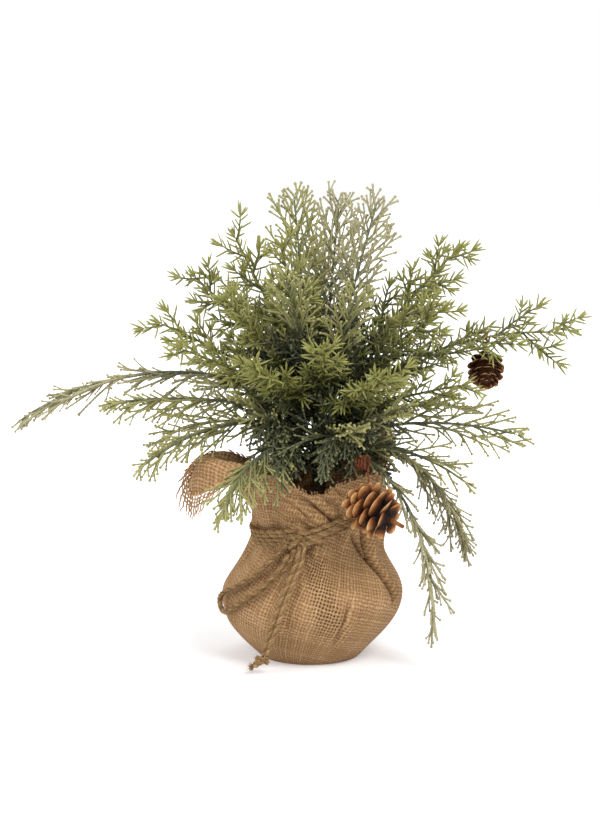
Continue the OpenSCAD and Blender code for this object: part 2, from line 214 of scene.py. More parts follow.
# twine: routes as angle, share of the tie's height and distance off the sack
twine = {"thickness": 2.6, "plies": 3, "lay": 7.5, "turns": 4, "tilt": 10, "hairs": 6.5, "surge": 6,
         "surgeWay": 302, "surgeWidth": 28, "offNeck": 5.1}
outerWay = [(245, 97.5, 9), (239, 90.5, 7), (233, 82.5, 4.5), (228, 75, 4.5), (221, 67.5, 4), (213, 61, 3),
            (205, 55, 2.5), (198, 50.5, 2.5), (194.5, 47.5, 2.5), (193.5, 43.5, 2.5), (194.5, 39.5, 2.5),
            (197.5, 37, 2.5), (201.5, 37, 2.5), (210, 41.5, 1.5), (221, 48.5, 1.5), (229, 54.5, 2),
            (235, 61, 3), (241, 68, 4), (246, 75, 5), (250, 83, 7), (252.5, 91, 9.5)]
innerWay = [(246, 93.5, 9), (240.5, 87.5, 9), (235, 80.5, 8), (229, 73, 8), (222, 66, 7), (214, 59.5, 6),
            (208, 56.5, 5.5), (204, 54, 5.5), (201.5, 50.5, 5.5), (201, 46.5, 5.5), (202.5, 42.5, 5.5),
            (206, 40, 5.5), (211, 41, 5), (218, 46.5, 4.5), (226.5, 53.5, 5), (232.5, 59.5, 6),
            (238, 66, 7), (242.5, 73, 8), (246, 80, 9), (248, 87, 9.5)]
leftWay = [(255, 93, 8), (255, 82.5, 7), (253, 74.5, 5.5), (252, 67, 4.5), (250, 59.5, 2.5), (249, 52.5, 2.5),
           (248, 45, 2.5), (246, 37, 3.5), (244, 29, 6), (242, 21, 10.5), (240, 14, 15.5)]
rightWay = [(258, 95, 6.5), (259, 83, 6), (257, 75, 5.5), (255, 67.5, 4), (254, 60, 3), (252, 52.5, 2.5),
            (251, 45, 2.5), (249, 37, 4), (247, 29.5, 6.5), (245, 21.5, 11.5), (243, 14.5, 16.5)]
knotWay, endKnotWay = (252, 96.5, 7.8), (240, 10.5, 19)


def surge(angle):
    # the turns run up over the bagging cloth at the front right
    return twine["surge"] * hump(apart(angle, twine["surgeWay"]), twine["surgeWidth"])


def bySack(angle, share, off):
    z = sack["neckHeight"] * share / 100
    radius = sackRadius(z) + twine["thickness"] / 2 + off
    return Vector((leanAt(z) + radius * cosd(angle), radius * sind(angle), z)) * mm


def smoothRoute(points, step, soften=25):
    # even points on a smooth curve through the given ones
    padded = [points[0] * 2 - points[1]] + points + [points[-1] * 2 - points[-2]]
    fine = []
    for a, b, c, d in zip(padded, padded[1:], padded[2:], padded[3:]):
        for k in range(12):
            t = k / 12
            fine.append(0.5 * (b * 2 + (c - a) * t + (a * 2 - b * 5 + c * 4 - d) * t ** 2
                               + (b * 3 - a - c * 3 + d) * t ** 3))
    fine.append(points[-1])
    route = evenRoute(fine, step)
    for _ in range(soften):
        inside = [a * 0.25 + b * 0.5 + c * 0.25 for a, b, c in zip(route, route[1:], route[2:])]
        route = route[:1] + inside + route[-1:]
    return route


def evenRoute(fine, step):
    lengths = [0]
    for a, b in zip(fine, fine[1:]):
        lengths.append(lengths[-1] + (b - a).length)
    count = max(2, round(lengths[-1] / step))
    out, k = [], 0
    for i in range(count + 1):
        want = lengths[-1] * i / count
        while k < len(fine) - 2 and lengths[k + 1] < want:
            k += 1
        t = (want - lengths[k]) / max(lengths[k + 1] - lengths[k], 1e-9)
        out.append(fine[k].lerp(fine[k + 1], clamp(t)))
    return out


def routeLength(points):
    return sum((b - a).length for a, b in zip(points, points[1:]))


def sideways(points):
    # two directions across the route at each point, carried along it without a twist
    across, sides = Vector((0.3, 0.2, 1)), []
    for i in range(len(points)):
        along = (points[min(i + 1, len(points) - 1)] - points[max(i - 1, 0)]).normalized()
        across = (across - along * across.dot(along)).normalized()
        sides.append((across.copy(), along.cross(across)))
    return sides


def strandMesh(name, strands, material):
    # strands: lists of (point, radius in mm, growth), where growth is three numbers that the material reads
    curve = bpy.data.curves.new(name, "CURVE")
    curve.dimensions, curve.bevel_depth, curve.bevel_resolution = "3D", mm, 0
    growth = []
    for strand in strands:
        spline = curve.splines.new("POLY")
        spline.points.add(len(strand) - 1)
        spline.points.foreach_set("co", [c for point, radius, grow in strand for c in (*point, 1)])
        spline.points.foreach_set("radius", [radius for point, radius, grow in strand])
        growth += [g for point, radius, grow in strand for g in tuple(grow) * 4]  # four corners at each point
    holder = addObject(name + ".curve", curve)
    bpy.context.view_layer.update()
    mesh = bpy.data.meshes.new_from_object(holder.evaluated_get(bpy.context.evaluated_depsgraph_get()))
    bpy.data.objects.remove(holder)
    bpy.data.curves.remove(curve)
    mesh.attributes.new("growth", "FLOAT_VECTOR", "POINT").data.foreach_set("vector", growth)
    mesh.materials.clear()
    return finishedPiece(name, mesh, material)


def meshPiece(name, bm, material):
    mesh = bpy.data.meshes.new(name)
    bm.to_mesh(mesh)
    bm.free()
    return finishedPiece(name, mesh, material)


def finishedPiece(name, mesh, material):
    mesh.polygons.foreach_set("use_smooth", [True] * len(mesh.polygons))
    mesh.materials.append(material)
    return addObject(name, mesh)


def standFor(piece, body, node):
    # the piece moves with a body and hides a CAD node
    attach(piece, body)
    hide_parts(node)


def plyStrands(route, dice, thickness, tone):
    # three plies laid round each other along a route, with loose fibres that stand off them
    strands, sides, last = [], sideways(route), len(route) - 1
    step = routeLength(route) / last / mm
    for ply in range(twine["plies"]):
        strand = []
        for i, (point, (across, up)) in enumerate(zip(route, sides)):
            turn = 360 * (ply / twine["plies"] + i * step / twine["lay"])
            wobble = 0.27 * thickness * (1 + 0.25 * wander(i * step / 5, ply * 7, tone * 50))
            out = across * cosd(turn) + up * sind(turn)
            ends = min(1, 0.55 + min(i, last - i) * 0.3)
            radius = 0.3 * thickness * ends * (1 + 0.18 * wander(i * step / 3, ply * 9, tone * 30))
            strand.append((point + out * wobble * mm, radius, (tone + 0.18 * ply, i * step / 10, 0)))
        strands.append(strand)
    fibre = (0.9, 0, 1)
    for k in range(int(routeLength(route) / mm * twine["hairs"] / 2)):
        i = dice.randrange(1, last)
        across, up = sides[i]
        along = (route[i + 1] - route[i - 1]).normalized()
        turn = dice.uniform(0, 360)
        side = across * cosd(turn) + up * sind(turn)
        out = (side * 0.8 + along * dice.choice((-1, 1)) * dice.uniform(0.6, 2)).normalized()
        bend = Vector((dice.uniform(-1, 1), dice.uniform(-1, 1), dice.uniform(-1, 1))) * 0.5
        length = dice.uniform(1.0, 2.3)
        start = route[i] + side * 0.42 * thickness * mm
        strands.append([(start, 0.11, fibre), (start + (out + bend * 0.2) * length * 0.5 * mm, 0.1, fibre),
                        (start + (out * 0.8 + bend * 0.6) * length * mm, 0.03, fibre)])
    return strands


def twineMaterial():
    # jute: rough bast fibre twisted in three plies, so it is matt, streaked along the ply and hairy
    material, tree, shader = newMaterial("jute twine, twisted", 0.9)
    place, tone = readings(tree)[:2]
    fibres = addNode(tree, "TexNoise", {"Vector": place, "Scale": 900.0, "Detail": 3.0})  # about 1.1 mm long
    blend = addNode(tree, "Math", {0: tone, 1: fibres}, operation="ADD")
    halved = addNode(tree, "Math", {0: blend, 1: 0.5}, operation="MULTIPLY")
    colour = addNode(tree, "ValToRGB", {0: halved},
                     stops=[(0.2, "4C361D"), (0.48, "8F6E43"), (0.78, "C8A678")])
    paint(tree, shader, colour, fibres, 0.5, 0.3)
    return material


jute = twineMaterial()
for node, way, seed, farEnd, lay in (("twine_loop_outer", outerWay, 3, "object", "taut"),
                                     ("twine_loop_inner", innerWay, 4, "object", "taut"),
                                     ("twine_tail_left", leftWay, 5, "knot", "hanging"),
                                     ("twine_tail_right", rightWay, 6, "knot", "hanging")):
    route, dice = smoothRoute([bySack(*place) for place in way], 0.8 * mm), random.Random(seed)
    plies = plyStrands(route, dice, twine["thickness"], dice.uniform(0.2, 0.5))
    piece = strandMesh(node + ".twisted", plies, jute)
    standFor(piece, "root", node)
print("cords done")


def turnsRoute():
    # one long spiral round the neck that lies where the turns are, from the knot and back to it
    radius = sack["neckRadius"] + twine["offNeck"]
    pitch = (twine["thickness"] + 0.1) * 0.9
    points = []
    for i in range(twine["turns"] * 60 + 1):
        share = i / 60
        angle = knotWay[0] + 360 * share
        off = 0.9 * wander(cosd(angle) * 2, sind(angle) * 2, share * 1.7)
        flat = Vector(((radius + off) * cosd(angle), (radius + off) * sind(angle),
                       (share - twine["turns"] / 2) * pitch + 1.4 * off))
        points.append(turning(-twine["tilt"], "Y") @ flat
                      + Vector((sack["neckLean"], 0, sack["neckHeight"] + surge(angle))))
    return evenRoute([point * mm for point in points], 1.1 * mm)


def knotStrands(centre, size, turnWay, dice, tone):
    # an overhand knot: a trefoil squeezed along turnWay
    route, squash = [], turnWay.normalized()
    for i in range(91):
        t = 4 * i
        point = Vector((sind(t) + 2 * sind(2 * t), cosd(t) - 2 * cosd(2 * t), -1.3 * sind(3 * t)))
        point -= squash * point.dot(squash) * 0.35
        route.append(centre + point * size / 6 * mm)
    return plyStrands(evenRoute(route, 0.9 * mm), dice, twine["thickness"] * 0.95, tone)


def frayedTuft(start, way, length, count, dice, spread):
    # loose fibres at the end of a strand, which lie on the table where they meet it
    strands = []
    for k in range(count):
        out = (way + scatter(dice, spread) * 0.6).normalized()
        bend = scatter(dice, 0.3)
        reach = length * dice.uniform(0.6, 1)
        strand = [(start + out * reach * t * mm + bend * reach * t * t * 0.4 * mm, 0.24 * (1.15 - t),
                   (dice.uniform(0.3, 0.8), t, 1)) for t in (0, 0.3, 0.6, 0.85, 1)]
        for point, radius, grow in strand:
            point.z = max(point.z, 0.3 * mm)
        strands.append(strand)
    return strands


dice = random.Random(11)
turns = plyStrands(turnsRoute(), dice, twine["thickness"], 0.35)
knot = (knotStrands(bySack(*knotWay), 10, Vector((0, 1, 0)), dice, 0.3)
        + knotStrands(bySack(knotWay[0] - 3, knotWay[1] - 3, 7), 8, Vector((0.3, 1, 0.5)), dice, 0.4))
endAt = bySack(*endKnotWay)
stub = [endAt + Vector(off) * mm for off in ((1.5, 0, 1), (0, 0, 0), (-3, -0.6, -2), (-5.5, -0.8, -3.5))]
endKnot = (knotStrands(endAt, 8, Vector((0.4, 0.8, 0.4)), dice, 0.4)
           + plyStrands(smoothRoute(stub, 0.8 * mm, 2), dice, 4, 0.5)
           + frayedTuft(stub[-1], Vector((-0.75, -0.1, -0.35)), 4.5, 60, dice, 0.7))
for name, strands, node in (("twine_turns", turns, "twine_wraps"), ("twine_knot.tied", knot, "twine_knot"),
                            ("twine_end_knot.tied", endKnot, "twine_end_knot")):
    standFor(strandMesh(name, strands, jute), "root", node)
print("twine done")


# burlap: columns round the sack, and rows over its base, up its side and over its collar
cloth = {"columns": 360, "rows": 108, "baseRows": 6, "sideRows": 60, "threadsRound": 156, "slant": 44,
         "pitch": 2.3, "thickness": 1.0, "edge": 11, "fringe": 4.5, "foot": 1.15}
# folds that run from the knot: angle from straight down, height, width
knotFolds = [(-72, 1.6, 7), (-58, 2.2, 6), (-44, 1.8, 5), (-31, 2.4, 5), (-19, 1.6, 4), (-8, 2.2, 4),
             (3, 1.4, 4), (14, 1.8, 5), (30, 1.2, 7), (52, 1.6, 7), (70, 1.5, 6)]
# pleats along lines of (angle, height) marks, with the ridges and furrows across them as place, width and
# height in mm: the deep pleat at the front right, the soft one below it, and the fold beside the tails
deepPleat = {"line": [(-60, 84), (-47, 73), (-36, 60), (-31, 47)], "middle": -45, "span": 55, "radius": 54,
             "across": [(0, 1.9, -7.5), (6, 4.5, 3.4), (-7, 6, 1.2)]}
lowPleat = {"line": [(-67, 46), (-72, 18)], "middle": -70, "span": 30, "radius": 55,
            "across": [(4, 3, 1.4), (0, 1.9, -2.6)]}
tailFold = {"line": [(252, 80), (248, 52), (247, 22)], "middle": 249, "span": 30, "radius": 54,
            "across": [(0, 2.6, 1.9), (6, 2.4, -1.3)]}


def foldShare(angle, middle, width):
    return hump(apart(angle, middle), width)


def lapelShare(angle, width=30):
    # the lapel falls away faster on its far side
    off = apart(angle, sack["lapelWay"])
    return hump(off, width * (0.7 if off < 0 else 1.1))


def latticeShare(angle):
    # how far the weft threads have slipped out of the cut edge
    return ease(0.3, 0.75, lapelShare(angle, 26))


def tieHeight(angle):
    return sack["neckHeight"] + 44 * cosd(angle) * math.tan(math.radians(twine["tilt"])) + surge(angle)


def crease(angle, z, fold):
    # distance across a fold's line, signed to its right, and the share of the way along it
    best, line, scale = None, fold["line"], math.radians(fold["radius"])
    for k, ((a1, z1), (a2, z2)) in enumerate(zip(line, line[1:])):
        x, x2 = apart(angle, a1) * scale, apart(a2, a1) * scale
        t = (x * x2 + (z - z1) * (z2 - z1)) / (x2 * x2 + (z2 - z1) ** 2)
        t = clamp(t, 0 if k else t, 1 if k < len(line) - 2 else t)
        dx, dz = x - x2 * t, z - z1 - (z2 - z1) * t
        side = math.copysign(math.hypot(dx, dz), dx * (z1 - z2) + dz * x2)
        if best is None or abs(side) < abs(best[0]):
            best = (side, (k + t) / (len(line) - 1))
    return best


def foldAt(angle, z, fold):
    # distance across a fold, and how deep it is there
    if abs(apart(angle, fold["middle"])) > fold["span"]:
        return 0.0, 0.0
    side, t = crease(angle, z, fold)
    if fold is deepPleat:
        return side, ease(-0.15, 0.15, t) * (1 - ease(1.02, 1.3, t)) * mix(0.5, 1, ease(0, 1, t))
    if fold is lowPleat:
        return side, ease(-0.2, 0.3, t) * (1 - ease(0.8, 1.2, t))
    return abs(side), ease(-0.1, 0.2, t) * (1 - ease(0.75, 1.15, t))


def hollowAt(angle, z):
    # share of the light that is lost in the pleats
    side, depth = foldAt(angle, z, deepPleat)
    low, lowDepth = foldAt(angle, z, lowPleat)
    return depth * hump(side - 0.4, 1.7) + 0.45 * lowDepth * hump(low, 1.4)


def relief(angle, z):
    # how far the gathered cloth stands out of the smooth sack
    out = 1.4 * (z / sack["neckHeight"]) ** 3 * cosd(12 * angle)
    across, down = 50 * math.radians(apart(angle, knotWay[0])), 83 - z
    far = math.hypot(across, down)
    way = math.degrees(math.atan2(across, down))
    strength = ease(3, 12, far) * hump(far, 48)
    for middle, height, width in knotFolds:
        out += 1.25 * height * strength * (hump(way - middle, width) - 0.28)
    # gathers all round, above and below the tie, with a plain strip at the back
    off = z - tieHeight(angle)
    gathered = hump(off, 26) * (1 - 0.7 * foldShare(angle, knotWay[0], 45))
    ripples = wander(angle / 7.5, 3, z / 60) + 0.6 * wander(angle / 3.6, 9, z / 40)
    out += 3.4 * gathered * ripples * ease(0, 25, abs(apart(angle, 90)))
    for fold in (deepPleat, lowPleat, tailFold):
        side, depth = foldAt(angle, z, fold)
        out += depth * sum(height * hump(side - place, width) for place, width, height in fold["across"])
    # a pinch on the left where the loop pulls the cloth
    out += (2.0 * foldShare(angle, 199, 4) - 1.4 * foldShare(angle, 206, 4)) * hump(z - 30, 13)
    out += 1.7 * wander(cosd(angle) * 1.6, sind(angle) * 1.6, z / 34) * ease(0, 12, z)
    # the tie pinches the cloth that swells on both sides of it
    return out + 3.3 * hump(off, 20) - 1.2 * hump(off, 6)


def collarWay(angle):
    # the cloth above the tie, as points of radius and height with the way that its face turns
    lapel = lapelShare(angle)
    flap = foldShare(angle, sack["flapWay"], 30)
    front = foldShare(angle, sack["frontWay"], 25)
    length = sack["collar"] + sack["lapel"] * lapel + sack["flap"] * flap - sack["frontDip"] * front
    steps, radius, height = [], float(sack["neckRadius"]), float(sack["neckHeight"])
    count = 40
    for i in range(count + 1):
        t = i / count
        # the lapel rises, turns over a little past halfway and hangs down outside
        turned = (1 - cosd(180 * clamp((t - 0.5) / 0.24))) / 2
        rise = 88 - 33 * lapel - 122 * lapel * turned - (20 + 60 * flap) * t ** 3
        steps.append((radius, height, rise))
        radius += length / count * cosd(rise)
        height += length / count * sind(rise)
    return length, steps


collars = {}


def collarAt(angle):
    key = round(angle % 360, 3)
    if key not in collars:
        collars[key] = collarWay(angle)
    return collars[key]


def collarPoint(angle, t, lift=0.0):
    # t may pass 1, where loose threads run on beyond the cut edge
    length, steps = collarAt(angle)
    place = clamp(t) * (len(steps) - 1)
    i = min(int(place), len(steps) - 2)
    radius, height, rise = (mix(a, b, place - i) for a, b in zip(steps[i], steps[i + 1]))
    beyond, above = max(t - 1, 0) * length, t * length
    radius, height = radius + beyond * cosd(rise), height + beyond * sind(rise)
    lapel = lapelShare(angle)
    swell = relief(angle, sack["neckHeight"] + 0.9 * min(above, 40)) * hump(above, 22)
    wave = 2.6 * t * (wander(angle / 16, 5, t * 1.5) + 0.5 * wander(angle / 6, 8, t * 3)) * (1 - 0.45 * lapel)
    # the cloth bags out over the tie in front, in slanting folds
    bag = foldShare(angle, 268, 38) * hump(above - 13, 9)
    slant = wander((angle + 1.6 * above) / 9, 2, above / 30)
    out = swell + wave + lift + bag * (3.4 + 5.0 * slant) + 3.0 * slant * (1 - lapel) * hump(above - 20, 16)
    radius += out * sind(rise)
    height -= out * cosd(rise)
    return Vector((sack["neckLean"] + radius * cosd(angle), radius * sind(angle), height))


def edgeShare(angle):
    # share of the cloth above the tie that is whole; the rest is open threads
    return 1 - cloth["edge"] * latticeShare(angle) / collarAt(angle)[0]


def aboveTie(row):
    # share of the way over the collar, and less than nothing below it
    below = cloth["baseRows"] + cloth["sideRows"]
    return (row - below) / (cloth["rows"] - below)


def clothPoint(angle, row):
    if row <= cloth["baseRows"]:
        radius = (sack["baseRadius"] + relief(angle, 0)) * row / cloth["baseRows"]
        return Vector((radius * cosd(angle), radius * sind(angle), cloth["foot"]))
    if aboveTie(row) <= 0:
        z = sack["neckHeight"] * (row - cloth["baseRows"]) / cloth["sideRows"]
        radius = sackRadius(z) + relief(angle, z)
        return Vector((leanAt(z) + radius * cosd(angle), radius * sind(angle), max(z, cloth["foot"])))
    return collarPoint(angle, edgeShare(angle) * aboveTie(row))


def openWeave(angle, z):
    # the weave is pulled open in a band at the front, and a little here and there
    band = math.exp(-(apart(angle, 277 - (z - 45) * 0.3) / 10) ** 4) * ease(16, 34, z) * (1 - ease(66, 76, z))
    return -0.22 + 1.35 * band + 0.35 * wander(cosd(angle) * 2.4, sind(angle) * 2.4, z / 30 + 4)


def burlapSheet(material):
    bm = bmesh.new()
    uv = bm.loops.layers.uv.new("UVMap")
    bmesh.ops.create_grid(bm, x_segments=cloth["columns"], y_segments=cloth["rows"], size=0.5)
    openness, hollow = bm.verts.layers.float.new("openness"), bm.verts.layers.float.new("hollow")
    # the weave follows the smooth meridian, so that pleats don't drag it
    smooth, last = [0.0], cloth["baseRows"] + cloth["sideRows"]
    for row in range(1, last + 1):
        z, below = (sack["neckHeight"] * max(k - cloth["baseRows"], 0) / cloth["sideRows"]
                    for k in (row, row - 1))
        step = (sack["baseRadius"] / cloth["baseRows"] if row <= cloth["baseRows"]
                else math.hypot(z - below, sackRadius(z) - sackRadius(below)))
        smooth.append(smooth[-1] + step)
    places, threadsUp = {}, {}
    for column in range(cloth["columns"] + 1):
        angle = 360 * column / cloth["columns"]
        length = collarAt(angle)[0] * edgeShare(angle)
        for row in range(cloth["rows"] + 1):
            places[column, row] = clothPoint(angle, row)
            way = smooth[row] if row <= last else smooth[-1] + aboveTie(row) * length
            threadsUp[column, row] = way / cloth["pitch"]
    spots = {vertex.index: (round((vertex.co.x + 0.5) * cloth["columns"]),
                            round((vertex.co.y + 0.5) * cloth["rows"])) for vertex in bm.verts}
    for face in bm.faces:
        for loop in face.loops:
            across, up = spots[loop.vert.index][0] / cloth["columns"], threadsUp[spots[loop.vert.index]]
            loop[uv].uv = (across * cloth["threadsRound"] - 0.28 * up, up + across * cloth["slant"])
    for vertex in bm.verts:
        column, row = spots[vertex.index]
        angle, point = 360 * column / cloth["columns"], places[column, row]
        vertex[openness] = openWeave(angle, point.z)
        if cloth["baseRows"] < row <= last:
            # painted shade of the pleats, which the burlap material darkens by
            vertex[hollow] = hollowAt(angle, point.z)
        vertex.co = point * mm
    bmesh.ops.remove_doubles(bm, verts=bm.verts, dist=0.00002)
    bmesh.ops.recalc_face_normals(bm, faces=bm.faces)
    area = sum(face.calc_area() for face in bm.faces)
    piece = meshPiece("burlap_sack", bm, material)
    thicken = piece.modifiers.new("thickness", "SOLIDIFY")
    thicken.thickness = cloth["thickness"] * mm
    thicken.offset = -1
    print("burlap area", round(area, 4))
    return piece


def burlapMaterial():
    # burlap: plain weave of coarse jute, 11 threads an inch, so threads and the holes between them show
    material, tree, shader = newMaterial("burlap, plain jute weave", 0.92)
    uv = addNode(tree, "UVMap", {}, uv_map="UVMap")
    slub = addNode(tree, "TexNoise", {"Vector": uv, "Scale": 0.35, "Detail": 3.0}, "Color",
                   noise_dimensions="2D")
    shifted = addNode(tree, "VectorMath", {0: slub, 1: (0.5, 0.5, 0.5)}, operation="SUBTRACT")
    scaled = addNode(tree, "VectorMath", {0: shifted, "Scale": 0.9}, operation="SCALE")
    threads = addNode(tree, "VectorMath", {0: uv, 1: scaled}, operation="ADD")
    place = addNode(tree, "TexCoord", {}, "Object")
    made = {"warp": addNode(tree, "SeparateXYZ", {0: threads}, 0),
            "weft": addNode(tree, "SeparateXYZ", {0: threads}, 1),
            "fibre": addNode(tree, "TexNoise", {"Vector": place, "Scale": 1300.0, "Detail": 3.0}),
            "broad": addNode(tree, "TexNoise", {"Vector": place, "Scale": 38.0, "Detail": 2.0}),
            "openness": addNode(tree, "Attribute", {}, "Fac", attribute_name="openness"),
            "hollow": addNode(tree, "Attribute", {}, "Fac", attribute_name="hollow")}
    # the sums of the weave: each has a name, an operation and its terms
    sums = [("warpTurn", "MULTIPLY", "warp", math.pi), ("weftTurn", "MULTIPLY", "weft", math.pi),
            ("warpWave", "COSINE", "warpTurn"), ("weftWave", "COSINE", "weftTurn"),
            ("warpFull", "ABSOLUTE", "warpWave"), ("weftFull", "ABSOLUTE", "weftWave"),
            ("crossing", "MULTIPLY", "warpWave", "weftWave"),
            ("warpOver", "MULTIPLY_ADD", "crossing", 0.42, 0.58),
            ("weftOver", "MULTIPLY_ADD", "crossing", -0.42, 0.58),
            ("warpHeight", "MULTIPLY", "warpFull", "warpOver"),
            ("weftHeight", "MULTIPLY", "weftFull", "weftOver"),
            ("height", "MAXIMUM", "warpHeight", "weftHeight"),
            ("onTop", "GREATER_THAN", "warpHeight", "weftHeight"),
            ("full", "MAXIMUM", "warpFull", "weftFull"), ("edge", "MULTIPLY_ADD", "openness", 0.42, 0.3),
            ("edgeLow", "SUBTRACT", "edge", 0.12), ("edgeHigh", "ADD", "edge", 0.12),
            ("warpNumber", "ROUND", "warp"), ("weftRound", "ROUND", "weft"),
            ("weftNumber", "ADD", "weftRound", 0.37)]
    for name, operation, *terms in sums:
        inputs = {i: made.get(term, term) for i, term in enumerate(terms)}
        made[name] = addNode(tree, "Math", inputs, operation=operation)
    made["hole"] = addNode(tree, "MapRange", {"Value": made["full"], "From Min": made["edgeLow"],
                                              "From Max": made["edgeHigh"], "To Min": 1.0, "To Max": 0.0})
    # each thread has its own tone, and fibres run along it
    warpTone = addNode(tree, "TexWhiteNoise", {"W": made["warpNumber"]}, noise_dimensions="1D")
    weftTone = addNode(tree, "TexWhiteNoise", {"W": made["weftNumber"]}, noise_dimensions="1D")
    made["tone"] = addNode(tree, "Mix", {"Factor": made["onTop"], "A": weftTone, "B": warpTone})
    # painted highlight and shade: the crowns of the threads are lighter and the dips between them darker; the
    # tones of single threads, the fibres and the patches are the jute's own
    sums = [("fibres", "MULTIPLY", "fibre", 0.5), ("toned", "MULTIPLY_ADD", "tone", 0.26, "fibres"),
            ("patched", "MULTIPLY_ADD", "broad", 0.3, "toned"), ("raised", "MULTIPLY", "height", 0.36),
            ("light", "MULTIPLY_ADD", "patched", 0.6, "raised"), ("dark", "MULTIPLY", "hole", 0.9),
            ("shade", "MULTIPLY", "hollow", 0.8), ("sunk", "MULTIPLY_ADD", "hole", -0.5, "height"),
            ("relief", "MULTIPLY_ADD", "fibre", 0.25, "sunk")]
    for name, operation, *terms in sums:
        inputs = {i: made.get(term, term) for i, term in enumerate(terms)}
        made[name] = addNode(tree, "Math", inputs, operation=operation)
    colour = addNode(tree, "ValToRGB", {0: made["light"]},
                     stops=[(0.28, "805C37"), (0.52, "B0885B"), (0.72, "CEA87D"), (0.9, "E2C29E")])
    # painted shade: the holes between threads darken as the pot behind them in shade, and the pleats darken
    # where light is lost in them
    for factor, deep in (("dark", "4E3316"), ("shade", "3A2410")):
        colour = addNode(tree, "Mix", {"Factor": made[factor], "A": colour, "B": deep}, "Result",
                         data_type="RGBA")
    paint(tree, shader, colour, made["relief"], 0.9, 0.7)
    return material


def threadMaterial():
    # the same jute as the weave, in single threads
    material, tree, shader = newMaterial("burlap threads, loose jute", 0.92)
    place, tone = readings(tree)[:2]
    fibre = addNode(tree, "TexNoise", {"Vector": place, "Scale": 1300.0, "Detail": 3.0})
    light = addNode(tree, "Math", {0: tone, 1: 0.5, 2: fibre}, operation="MULTIPLY_ADD")
    colour = addNode(tree, "ValToRGB", {0: light}, stops=[(0.4, "8A5F35"), (0.75, "BD9263"), (1.0, "D9B58A")])
    tree.links.new(colour, shader["Base Color"])
    return material


def looseThreads():
    # open lattice at the lapel's cut edge, where weft threads have slipped out, and a short fringe elsewhere
    strands, dice = [], random.Random(21)
    spacing = 360 / cloth["threadsRound"]
    for k in range(cloth["threadsRound"]):
        angle = k * spacing
        length, lattice = collarWay(angle)[0], latticeShare(angle)
        start = edgeShare(angle) - 1.5 / length
        fringe = mix(2.2, cloth["fringe"], lattice) * dice.uniform(0.5, 1.3)
        if lattice < 0.05 and dice.random() < 0.35:
            continue
        stop, tone, strand = 1 + fringe / length, dice.random(), []
        curl = dice.gauss(0, 1.6)
        for i in range(9):
            t = mix(start, stop, i / 8)
            beyond = max(t - 1, 0) * length
            point = collarPoint(angle + curl * (beyond / 8) ** 1.5, t, lift=-0.5 + 0.3 * (-1) ** i)
            point.z -= 0.05 * beyond ** 2
            strand.append((point * mm, 0.55 * (1 - 0.75 * ease(0.75, 1, i / 8)), (tone, i / 8, 0)))
        strands.append(strand)
        for hair in range(2):
            base = strand[dice.randrange(5, 9)][0]
            out = scatter(dice, 1).normalized() * dice.uniform(1, 3) * mm
            strands.append([(base + out * share, radius, (0.8, 0, 0))
                            for share, radius in ((0, 0.1), (0.5, 0.08), (1, 0.03))])
    for line in range(4):
        # weft threads that still hold the lattice
        strand, tone = [], dice.random()
        for i in range(40):
            angle = mix(184, 236, i / 39)
            t = edgeShare(angle) + (0.4 + 2.3 * line) / collarWay(angle)[0] * latticeShare(angle)
            strand.append((collarPoint(angle, t, lift=-0.5 + 0.35 * (-1) ** i) * mm, 0.5, (tone, i / 4, 0)))
        strands.append(strand)
    return strandMesh("burlap_threads", strands, threadMaterial())


sheet = burlapSheet(burlapMaterial())
threadsPiece = looseThreads()
for piece in (sheet, threadsPiece):
    standFor(piece, "root", "burlap_wrap")
print("burlap done")


# sprays: name, foot's share of the way up the tape, azimuth, elevation at the foot, length as a percentage of
# the longest, droop and where it gathers, roll of the flat face, longest side shoot as a share of the length,
# number of side shoots
stems = {"trunkX": 6, "tapeRadius": 5.1, "tapeFoot": 112, "tapeTop": 182, "longest": 205, "bare": 0.2,
         "last": 0.96, "stemFoot": 1.2, "stemTip": 0.7, "footGap": 0.35, "steps": 96}
cedarRows = [
    ("cedar_top_back", 89, 70, 76, 58, 2, 1, -20, 0.34, 18),
    ("cedar_top_right", 89, -34, 74, 60, 2, 1, 60, 0.3, 18),
    ("cedar_top_left", 93, 141, 83, 58, 0, 1, 60, 0.3, 16),
    ("cedar_right", 40, -12, 20, 60, 34, 1, 80, 0.32, 16),
    ("cedar_right_low", 31, -25, 16, 48, 50, 1, 60, 0.3, 14),
    ("cedar_right_droop", 29, -6, 40, 62, 122, 0.6, 40, 0.2, 14),
    ("cedar_right_hang", 26, -34, 70, 76, 165, 0.35, 0, 0.12, 16),
    ("cedar_left_long", 66, 172, 32, 100, 68, 0.9, 15, 0.17, 22),
    ("cedar_left", 57, -170, 20, 64, 28, 1, 60, 0.25, 16),
    ("cedar_left_low", 46, -154, 23, 60, 60, 1, 62, 0.26, 16),
    ("cedar_front_left", 80, -112, 58, 47, 0, 1, 0, 0.3, 12),
    ("cedar_front_right", 77, -68, 56, 44, 4, 1, 0, 0.3, 12),
    ("cedar_front_low", 23, -122, 35, 55, 86, 1, 0, 0.24, 12),
    ("cedar_front_short", 29, -72, 34, 35, 30, 1, 0, 0.34, 8),
    ("cedar_centre_left", 40, -136, 26, 37, 0, 1, 30, 0.3, 10),
    ("cedar_centre_right", 40, -46, 24, 38, 4, 1, -30, 0.3, 10),
    ("cedar_back_high", 80, 92, 56, 55, 8, 1, 0, 0.32, 14),
    ("cedar_back_right", 54, 58, 24, 61, 30, 1, 30, 0.32, 14),
    ("cedar_back_left", 57, 128, 20, 61, 34, 1, -30, 0.32, 14),
    ("cedar_back_low", 26, 84, 22, 60, 76, 1, 0, 0.26, 12),
    ("cedar_side_right", 37, 26, 34, 54, 54, 1, 30, 0.26, 12),
    ("cedar_side_left", 31, 156, 30, 59, 66, 1, -30, 0.26, 12)]
